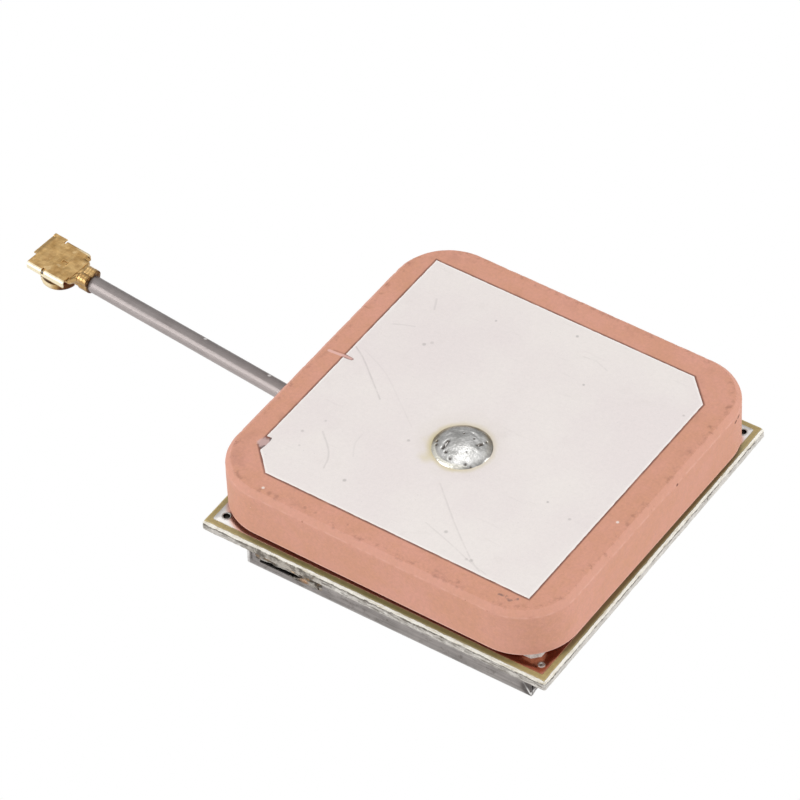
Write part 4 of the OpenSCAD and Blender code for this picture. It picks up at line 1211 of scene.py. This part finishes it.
def build_can():
    th, ro = 0.2, 0.11                                     # sheet and middle bend radius
    L = ro * math.pi / 2
    rise = 1.9 - th / 2
    end = L + rise - ro
    arc = list(np.linspace(0.0, L, 7))
    zs = [0.35, 0.43, 0.52, 0.62, 0.72, 0.84, 0.98, 1.12, 1.25, 1.38, 1.52, 1.66, 1.79]
    up = [L + z - th / 2 - ro for z in zs]
    s = np.array(arc + [u for u in up if u > L + 0.02] + [end])
    ob = ro + th / 2
    xa, xb, ya, yb = CX0 + ob, CX1 - ob, CY0 + ob, CY1 - ob

    def axis(a, b, stops):
        mid = np.unique(np.round(np.concatenate([np.linspace(a, b, int((b - a) / 0.33)), stops]), 4))
        keep = [mid[0]]
        for m in mid[1:]:
            if m - keep[-1] > 0.06 or any(abs(m - q) < 1e-3 for q in stops):
                keep.append(m)
        keep[-1] = b
        return np.concatenate([a - s[:0:-1], keep, b + s[1:]])

    u = axis(xa, xb, np.array([-8.7, -4.4]))
    v = axis(ya, yb, np.array([-0.95, 0.45]))

    def fold(c, a, b):
        """Position along the axis and rise of a point of the flat pattern."""
        over = np.maximum(np.maximum(a - c, c - b), 0)
        sg = np.where(c < a, -1.0, 1.0)
        base = np.clip(c, a, b)
        phi = np.minimum(over / ro, math.pi / 2)
        pos = base + sg * ro * np.sin(phi)
        z = ro * (1 - np.cos(phi)) + np.maximum(over - L, 0)
        return np.where(over > 0, pos, c), np.where(over > 0, z, 0.0), over

    px, zx, ox = fold(u, xa, xb)
    py, zy, oy = fold(v, ya, yb)
    U, W = np.meshgrid(np.arange(len(u)), np.arange(len(v)), indexing="ij")
    X = np.where(oy[W] > 0, np.clip(u[U], xa - ob + 0.02, xb + ob - 0.02), px[U])
    Y = py[W]
    Z = th / 2 + np.where(oy[W] > 0, zy[W], zx[U])
    P = np.stack([X, Y, Z], 2)
    um, vm = (u[1:] + u[:-1]) / 2, (v[1:] + v[:-1]) / 2
    uo = np.maximum(np.maximum(xa - um, um - xb), 0)
    vo = np.maximum(np.maximum(ya - vm, vm - yb), 0)
    A, Bq = np.meshgrid(np.arange(len(um)), np.arange(len(vm)), indexing="ij")
    keep = (uo[A] == 0) | (vo[Bq] == 0)
    keep |= (uo[A] > 0) & (uo[A] < L) & (vo[Bq] > 0)         # front and back flaps run out to the corners
    zc = lambda o: th / 2 + np.where(o < L, ro * (1 - np.cos(np.minimum(o / ro, 1.5708))), ro + o - L)
    front = vm < ya
    keep &= ~(front[Bq] & (um[A] > -8.7) & (um[A] < -4.4) & (zc(vo[Bq]) > 0.62))
    left = um < xa
    keep &= ~(left[A] & (vm[Bq] > -0.95) & (vm[Bq] < 0.45) & (zc(uo[A]) > 1.25))
    # handling dents and the slack of a hand-folded sheet
    flat = P.reshape(-1, 3)
    w = 0.018 * noise(flat * 0.22 + 3.0) + 0.008 * noise(flat * 0.9)
    wall = step(flat[:, 2], 0.3, 0.8)
    nx = np.where((ox[U] > 0) & (oy[W] == 0), np.sign(u[U]), 0).reshape(-1)
    ny = np.where(oy[W] > 0, np.sign(v[W]), 0).reshape(-1)
    flat = flat.copy()
    flat[:, 0] += nx * w * wall
    flat[:, 1] += ny * w * wall
    lift = np.clip(0.010 + 0.012 * noise(flat * 0.3 + 9.0), 0, 0.03) * (1 - step(flat[:, 2], 0.12, 0.3))
    inner = step(np.minimum(np.minimum(flat[:, 0] - CX0, CX1 - flat[:, 0]), np.minimum(flat[:, 1] - CY0, CY1 - flat[:, 1])), 0.6, 2.0)
    flat[:, 2] += lift * inner
    V, F = sheet_solid(flat.reshape(P.shape), keep, th)
    V[:, 2] = np.clip(V[:, 2], 0.0, 1.9)
    return piece("screen_can", V, F, M["can"], ["shield_can"], 50)


def fillet_run(B, p0, p1, out, seed, width=0.34, tall=0.42, n=None):
    """An uneven solder fillet between the can's wall and the board above it."""
    p0, p1, out = np.array(p0), np.array(p1), np.array(out)
    length = np.linalg.norm(p1 - p0)
    n = n or max(8, int(length / 0.16))
    rings = []
    for k in range(n + 1):
        s = k / n
        p = p0 * (1 - s) + p1 * s
        a = noise([[s * length * 0.55, seed, 1.0]])[0] + 0.5 * noise([[s * length * 1.7, seed, 5.0]])[0]
        taper = min(1.0, 0.18 + 5 * s * length / 3, 0.18 + 5 * (1 - s) * length / 3)
        w = width * np.clip(0.72 + 0.38 * a, 0.3, 1.0) * taper
        h = tall * np.clip(0.70 + 0.45 * a, 0.3, 1.0) * taper
        sec = [(-0.0, 1.9), (w, 1.9)]
        for q in (0.16, 0.32, 0.48, 0.64, 0.80, 0.92):
            ang = q * math.pi / 2
            sec.append((w * (1 - math.sin(ang)) ** 0.85 * 0.98 + 0.004, 1.9 - h * (1 - math.cos(ang)) ** 0.85))
        sec.append((0.0, 1.9 - h))
        rings.append(np.array([(*(p + out * o), z) for o, z in sec]))
    V, F = loft(rings, cap0=True, cap1=True)
    B.add(V, F)


def build_can_solder():
    B = Build()
    e = 0.003
    fillet_run(B, (-4.2, CY0 - e), (10.7, CY0 - e), (0, -1), 1.0)
    fillet_run(B, (-9.1, CY1 + e), (10.7, CY1 + e), (0, 1), 2.0)
    fillet_run(B, (CX1 + e, -11.3), (CX1 + e, 11.3), (1, 0), 3.0)
    fillet_run(B, (CX0 - e, -11.3), (CX0 - e, -1.5), (-1, 0), 4.0)
    fillet_run(B, (CX0 - e, 0.95), (CX0 - e, 11.3), (-1, 0), 5.0)
    # the front cut-out is closed by a lumpy bead above and a tongue of solder below, with a slit left between them
    n, m = 60, 92
    x0, x1 = -8.98, -4.05
    t = 2 * math.pi * np.arange(n) / n

    def slit(x):
        """Middle height and width of the open slit."""
        k = min(max((x + 8.75) / 3.55, 0.0), 1.0)
        return 0.84 + 0.30 * float(step(x, -7.2, -5.2)), 0.46 * max(math.sin(math.pi * k), 0.0) ** 0.7

    T = Build()
    rings = []
    for x in np.linspace(-6.60, -4.30, 50):
        zc, wide = slit(x)
        top = max(min(zc - wide / 2, 1.10), 0.66)
        q = 0.15 + 0.85 * float(step(x, -6.60, -6.0))
        lump = 1 + 0.10 * noise(np.column_stack([np.full(n, x * 2.2), np.cos(t), np.sin(t)]))
        y = -12.0 + 0.17 * q * lump * np.cos(t)
        z = (top + 0.63) / 2 + (top - 0.63) / 2 * lump * np.sin(t)
        rings.append(np.column_stack([np.full(n, x), y, np.clip(z, 0.628, 1.2)]))
    T.add(*loft(rings, cap0=True, cap1=True))
    V, F = B.arrays()
    piece("can_solder_run", V, F, M["solder"], ["can_solder"], 60)
    rings = []
    for k in range(m + 1):
        s = k / m
        x = x0 + (x1 - x0) * s
        fat = max((1 - abs(2 * s - 1) ** 4.0) ** 0.5 if 0 < s < 1 else 0.02, 0.06)
        zc, wide = slit(x)
        low = max(zc + wide / 2 + 0.03 * math.sin(11 * s) + 0.03 * math.sin(23 * s + 1) - 0.35 * float(step(x, -5.3, -4.8)), 0.66)
        cz = (1.93 + low) / 2
        rz = (1.93 - low) / 2
        ry = 0.34 * fat + 0.10
        cy = -12.02
        lump = 1 + 0.14 * fbm(np.column_stack([np.full(n, x * 1.1), np.cos(t) * 0.8, np.sin(t) * 0.8]), 2) + 0.10 * noise(np.column_stack([np.full(n, x * 3.2), np.cos(t) * 2, np.sin(t) * 2]))
        tuck = 0.40 + 0.60 * step(np.sin(t), -1.0, 0.35)      # the lower part draws back to the wall
        y = cy + ry * tuck * lump * np.sign(np.cos(t)) * np.abs(np.cos(t)) ** 0.85
        z = cz + rz * lump * np.sign(np.sin(t)) * np.abs(np.sin(t)) ** 0.85
        rings.append(np.column_stack([np.full(n, x), np.clip(y, -12.50, -11.60), np.clip(z, 0.64, 1.895)]))
    T.add(*loft(rings, cap0=True, cap1=True))
    V, F = T.arrays()
    return piece("can_solder_bead", V, F, M["bead"], [], 70)


# ---------------------------------------------------------------- pigtail
def build_jacket():
    n, r = 64, 0.565
    t = 2 * math.pi * np.arange(n) / n
    c, s = np.cos(t), np.sin(t)
    xs = np.concatenate([[-0.75, -0.74, -0.70], np.arange(-0.6, 19.9, 0.10), [19.95, 19.99, 20.0]])
    rings = []
    for x in xs:
        lip = 0.03 * max(0.0, 1 - (x + 0.75) / 0.06) + 0.03 * max(0.0, 1 - (20.0 - x) / 0.06)
        q = np.column_stack([np.full(n, x * 0.5), c * 0.7, s * 0.7])
        w = 0.004 * noise(q) + 0.0025 * np.sin(8 * t + 5.2 * x) * np.sin(8 * t - 5.2 * x)
        rr = r - lip + np.minimum(w, 0.004)
        rings.append(np.column_stack([np.full(n, x), rr * c, LEAD_Z + rr * s]))
    for x in xs[::-12]:
        rings.append(np.column_stack([np.full(n, x), 0.467 * c, LEAD_Z + 0.467 * s]))
    rings.append(np.column_stack([np.full(n, xs[0]), 0.467 * c, LEAD_Z + 0.467 * s]))
    V, F = loft(rings, wrap=True)
    return piece("cable_jacket", from_lead(V), F, M["jacket"], ["coax_jacket"], 50)


PX = 22.07


def build_plug():
    B = Build()
    # stamped plate with its two folded flanges, as one sheet
    th, ro = 0.12, 0.13
    L = ro * math.pi / 2
    flat = 1.40
    us = np.unique(np.round(np.concatenate([np.arange(20.30, 23.89, 0.05), [20.35, 20.42, 20.55, 20.78, 20.95, 21.32, 21.345, 21.745, 21.77, 22.04, 22.32, 22.67, 22.83, 23.50, 23.55, 23.85]]), 3))
    fl = np.unique(np.round(np.concatenate([np.arange(-flat, flat + 0.001, 0.05), [-0.4, 0.46, -0.1, -0.075, 0.175, 0.2, 0.95, -0.95, 1.26, -1.28]]), 3))
    drop = 0.34
    s = np.concatenate([np.linspace(0, L, 7)[1:], L + np.linspace(0, drop, 8)[1:]])
    vs = np.concatenate([-flat - s[::-1], fl, flat + s])
    over = np.maximum(np.abs(vs) - flat, 0)
    phi = np.minimum(over / ro, math.pi / 2)
    yv = np.sign(vs) * (np.minimum(np.abs(vs), flat) + ro * np.sin(phi))
    zm0 = 1.845                                            # middle of the plate
    zv = zm0 - ro * (1 - np.cos(phi)) - np.maximum(over - L, 0)
    P = np.zeros((len(us), len(vs), 3))
    P[..., 0] = us[:, None]
    P[..., 1] = yv[None]
    P[..., 2] = zv[None]
    # the far tab beyond the nick stays flat
    tab = (us[:, None] > 22.82) & (vs[None] < -flat)
    P[..., 1] = np.where(tab, np.maximum(vs[None], -1.66), P[..., 1])
    P[..., 2] = np.where(tab, zm0, P[..., 2])
    X, Y = P[..., 0], P[..., 1]
    # end tab dips a little, far cable-end corner rolls down, the window is pressed in
    P[..., 2] -= 0.07 * step(X, 23.5, 23.85) * (np.abs(Y) < 1.45)
    P[..., 2] -= 0.20 * np.clip((20.98 - X) / 0.34, 0, 1) ** 2 * step(Y, -0.85, -1.1)
    inw = (np.abs(X - 21.545) < 0.206) & (np.abs(Y - 0.05) < 0.131)
    P[..., 2] -= 0.055 * inw
    lip = np.exp(-((np.maximum(np.abs(X - 21.545) - 0.225, 0)) / 0.05) ** 2) * np.exp(-((np.maximum(np.abs(Y - 0.05) - 0.15, 0)) / 0.05) ** 2)
    P[..., 2] += 0.018 * lip * ~inw
    fl3 = P.reshape(-1, 3)
    P[..., 2] += (0.010 * noise(fl3 * 1.4)).reshape(X.shape) + (0.005 * noise(fl3 * 4.0)).reshape(X.shape)
    um, vm = (us[1:] + us[:-1]) / 2, (vs[1:] + vs[:-1]) / 2
    A, C = np.meshgrid(um, vm, indexing="ij")
    keep = np.ones(A.shape, bool)
    keep &= ~((A > 23.55) & (C > 0.46))
    keep &= ~((A > 22.04) & (A < 22.32) & (C > 1.26) & (C < flat + L + 0.14))
    keep &= ~((A > 22.67) & (A < 22.83) & (C < -1.28))
    keep &= ~((A > 23.50) & (C > flat))
    keep &= ~((A > 22.83) & (C < -1.66))
    keep &= ~((A > 22.32) & (C > flat + L + drop - 0.08))
    keep &= ~((A < 20.55) & (C < -0.95))
    keep &= ~((A < 20.78) & (C < -1.28))
    keep &= ~((A < 20.42) & (C > 0.95))
    V, F = sheet_solid(P, keep, th)
    B.add(V, F)
    # barrel: a split tube with a rolled lip
    n = 132
    zs = np.array([1.77, 1.72, 1.64, 1.5, 1.3, 1.1, 0.98, 0.88, 0.78, 0.70, 0.62, 0.55, 0.48, 0.42, 0.36, 0.31, 0.28])
    rm = np.array([1.36, 1.33, 1.25, 1.17, 1.15, 1.15, 1.15, 1.15, 1.155, 1.165, 1.18, 1.205, 1.225, 1.235, 1.225, 1.19, 1.13])
    ang = 2 * math.pi * np.arange(n + 1) / n
    G = np.zeros((len(zs), n + 1, 3))
    G[..., 0] = PX + rm[:, None] * np.cos(ang)
    G[..., 1] = rm[:, None] * np.sin(ang)
    G[..., 2] = zs[:, None]
    am = (np.arange(n) + 0.5) * 360 / n
    zm = (zs[1:] + zs[:-1]) / 2
    keepb = np.ones((len(zs) - 1, n), bool)
    for a0 in (60.0, 180.0, 300.0):
        near = np.abs((am - a0 + 180) % 360 - 180) < 4.2
        keepb &= ~((zm[:, None] < 0.56) & near[None])
    V, F = sheet_solid(G, keepb, 0.17)
    V[:, 2] = np.maximum(V[:, 2], 0.22)
    B.add(V, F)
    # crimp: two curled wings over the jacket, then the neck that widens into the plate
    n = 120
    t = 2 * math.pi * np.arange(n) / n
    c, s_ = np.cos(t), np.sin(t)

    def reach(cx, cz, r):
        """How far a ray from the cable's middle runs before it leaves a circle."""
        b = c * cx + s_ * cz
        k = b * b - (cx * cx + cz * cz - r * r)
        return np.where(k > 0, b + np.sqrt(np.maximum(k, 0)), 0.0)

    rings = []
    xs = np.concatenate([[19.12, 19.14], np.arange(19.18, 19.94, 0.035), [19.95, 19.975, 20.0, 20.03, 20.07], np.arange(20.12, 20.78, 0.045)])
    for x in xs:
        k = step(x, 19.90, 20.02)                         # 0 on the crimp, 1 on the neck
        w = step(x, 20.00, 20.45)
        base = 0.685 * (1 - k) + (0.60 + 0.02 * w) * k
        lobe = 0.38 * (1 - k) + (0.32 + 0.06 * w) * k
        ly = 0.36 * (1 - k) + (0.38 + 0.34 * w) * k
        lz = 0.40 * (1 - k) + (0.34 - 0.10 * w) * k
        r = np.maximum(np.full(n, base), np.maximum(reach(ly, lz, lobe), reach(-ly, lz, lobe)))
        ridge = 0.014 * np.exp(-(((x - 19.32) % 0.22 - 0.11) / 0.04) ** 2) * (x < 19.9) * step(s_, 0.0, 0.5)
        jag = 0.03 * noise(np.column_stack([c * 3, s_ * 3, np.full(n, 1.0)])) * step(x, 19.2, 19.12)
        worn = 0.010 * noise(np.column_stack([c * 2, s_ * 2, np.full(n, x * 3.0)]))
        round_ = -0.03 * max(0.0, 1 - (x - 19.12) / 0.05)
        rr = r + ridge + worn + round_
        y, z = rr * c, LEAD_Z + rr * s_
        z = np.where(w > 0, np.minimum(z, 2.06 - 0.24 * w), z)
        rings.append(np.column_stack([np.full(n, x) + jag, y, z]))
    for x in (20.75, 20.4, 20.02, 19.6, 19.125):
        rings.append(np.column_stack([np.full(n, x), 0.572 * c, LEAD_Z + 0.572 * s_]))
    V, F = loft(rings, wrap=True)
    B.add(V, F)
    V, F = B.arrays()
    return piece("plug_stamping", from_lead(V), F, M["gold"], ["plug_shell"], 55)


build_ceramic()
build_silver()
build_dome()
build_pad()
build_board()
build_top_copper()
build_vias()
build_can()
build_can_solder()
build_jacket()
build_plug()

# ---------------------------------------------------------------- finishes of the nodes that stay as they are
FINISH = {
    "ground_electrode": "silver_low", "feed_pin": "pin", "bottom_ground_plane": "tin_low", "signal_traces": "tin_low", "pin_solder": "solder",
    "amplifier_bodies": "epoxy", "amplifier_leads": "pin", "filter_body": "white_cer", "filter_lid": "gold_in", "capacitor_bodies": "tan_cer",
    "inductor_bodies": "ferrite", "resistor_bodies": "epoxy", "chip_end_caps": "pin", "coax_braid": "braid", "coax_dielectric": "polymer",
    "coax_core": "tin_low", "braid_solder": "solder", "core_solder": "solder", "plug_insulator": "polymer", "plug_contact": "gold_in",
}
for node, key in FINISH.items():
    ob = NODES[node]
    if ob.data.materials:
        for k in range(len(ob.data.materials)):
            ob.data.materials[k] = M[key]
    else:
        ob.data.materials.append(M[key])

# ---------------------------------------------------------------- floor, light
def floor_plane(name, z, bounce, glow):
    """A pale plane that can be looked through from below."""
    me = bpy.data.meshes.new(name)
    h = 0.9
    me.from_pydata([(-h, -h, 0), (h, -h, 0), (h, h, 0), (-h, h, 0)], [], [(0, 1, 2, 3)])
    ob = bpy.data.objects.new(name, me)
    ob.location.z = z
    scene.collection.objects.link(ob)
    m = bpy.data.materials.new(name)
    m.use_nodes = True
    t = m.node_tree
    b = t.nodes["Principled BSDF"]
    b.inputs["Base Color"].default_value = (bounce, bounce, bounce, 1)
    b.inputs["Roughness"].default_value = 0.9
    b.inputs["Specular IOR Level"].default_value = 0.0
    b.inputs["Emission Color"].default_value = (1, 1, 1, 1)
    b.inputs["Emission Strength"].default_value = glow
    geo, clear, mix = t.nodes.new("ShaderNodeNewGeometry"), t.nodes.new("ShaderNodeBsdfTransparent"), t.nodes.new("ShaderNodeMixShader")
    t.links.new(geo.outputs["Backfacing"], mix.inputs[0])
    t.links.new(b.outputs[0], mix.inputs[1])
    t.links.new(clear.outputs[0], mix.inputs[2])
    t.links.new(mix.outputs[0], t.nodes["Material Output"].inputs[0])
    me.materials.append(m)
    return ob


# What the camera sees is an even white sheet; what the object is lit by and mirrors is a softer grey one.
sheet = floor_plane("floor_white", -0.00004, 0.0, 1.0)
for flag in ("visible_diffuse", "visible_glossy", "visible_transmission", "visible_shadow"):
    setattr(sheet, flag, False)
ground = floor_plane("floor_bounce", -0.00002, 0.34, 0.60)
ground.visible_camera = False

world = bpy.data.worlds.new("studio")
scene.world = world
world.use_nodes = True
wt = world.node_tree


def wnode(kind, op=None, *inputs):
    n = wt.nodes.new(kind)
    if op:
        n.operation = op
    for k, v in enumerate(inputs):
        if hasattr(v, "is_output"):
            wt.links.new(v, n.inputs[k])
        else:
            n.inputs[k].default_value = v
    return n


def wmap(v, a, b, lo, hi):
    n = wnode("ShaderNodeMapRange", None, v, a, b, lo, hi)
    n.interpolation_type = "SMOOTHSTEP"
    return n.outputs[0]


# Round the horizon the room is light in front and dim behind, and overhead it is light.
way = wt.nodes.new("ShaderNodeTexCoord").outputs["Generated"]
sep = wnode("ShaderNodeSeparateXYZ", None, way)
ahead = wnode("ShaderNodeVectorMath", "DOT_PRODUCT", way, (0.15, -0.99, 0.0)).outputs["Value"]
horizon = wmap(ahead, -0.65, 0.75, 0.42, 0.40)
high = wmap(sep.outputs["Z"], 0.0, 0.72, 0.0, 1.0)
rest = wnode("ShaderNodeMath", "SUBTRACT", 1.0, high).outputs[0]
part = wnode("ShaderNodeMath", "MULTIPLY", horizon, rest).outputs[0]
peak = wmap(ahead, -0.70, 0.50, 0.70, 0.50)
sky = wnode("ShaderNodeMath", "MULTIPLY_ADD", high, peak, part).outputs[0]
below = wmap(sep.outputs["Z"], -0.12, -0.06, 1.0, 0.0)
glow = wnode("ShaderNodeMath", "MULTIPLY_ADD", below, 0.5, sky).outputs[0]
# a broad soft light overhead, a little behind
over = wnode("ShaderNodeVectorMath", "DOT_PRODUCT", way, (-0.12, 0.16, 0.98)).outputs["Value"]
lobe = wnode("ShaderNodeMath", "EXPONENT", wnode("ShaderNodeMath", "MULTIPLY_ADD", over, 8.0, -8.0).outputs[0]).outputs[0]
glow = wnode("ShaderNodeMath", "MULTIPLY_ADD", lobe, 0.92, glow).outputs[0]
bg = wt.nodes["Background"]
bg.inputs["Color"].default_value = (1, 1, 1, 1)
SKY = 0.95
wt.links.new(wnode("ShaderNodeMath", "MULTIPLY", glow, SKY).outputs[0], bg.inputs["Strength"])


def area(name, direction, dist, size, x, target=(-6.0, 0.0, 4.0)):
    """Soft box in the given direction; x is the brightness it adds to a white surface that faces it."""
    d = np.array(direction, float)
    d /= np.linalg.norm(d)
    data = bpy.data.lights.new(name, "AREA")
    data.shape = "RECTANGLE"
    data.size, data.size_y = size
    data.energy = math.pi ** 2 * dist ** 2 * x
    ob = bpy.data.objects.new(name, data)
    scene.collection.objects.link(ob)
    pos = np.array(target) * MM + d * dist
    z = d
    r = np.cross((0, 0, 1), z)
    r /= np.linalg.norm(r)
    u = np.cross(z, r)
    ob.matrix_world = Matrix([[r[i], u[i], z[i], pos[i]] for i in range(3)] + [[0, 0, 0, 1]])
    return ob


area("softbox_front", (-0.55, -0.75, 0.36), 0.60, (0.32, 0.60), 0.48)
area("softbox_right", (0.90, 0.30, 0.30), 0.60, (0.45, 0.36), 0.38)
area("softbox_top", (-0.22, 0.30, 0.93), 0.50, (0.12, 0.05), 0.028)

scene.view_settings.view_transform = "Standard"
scene.view_settings.look = "None"
scene.view_settings.exposure = 0.0
scene.view_settings.gamma = 1.0
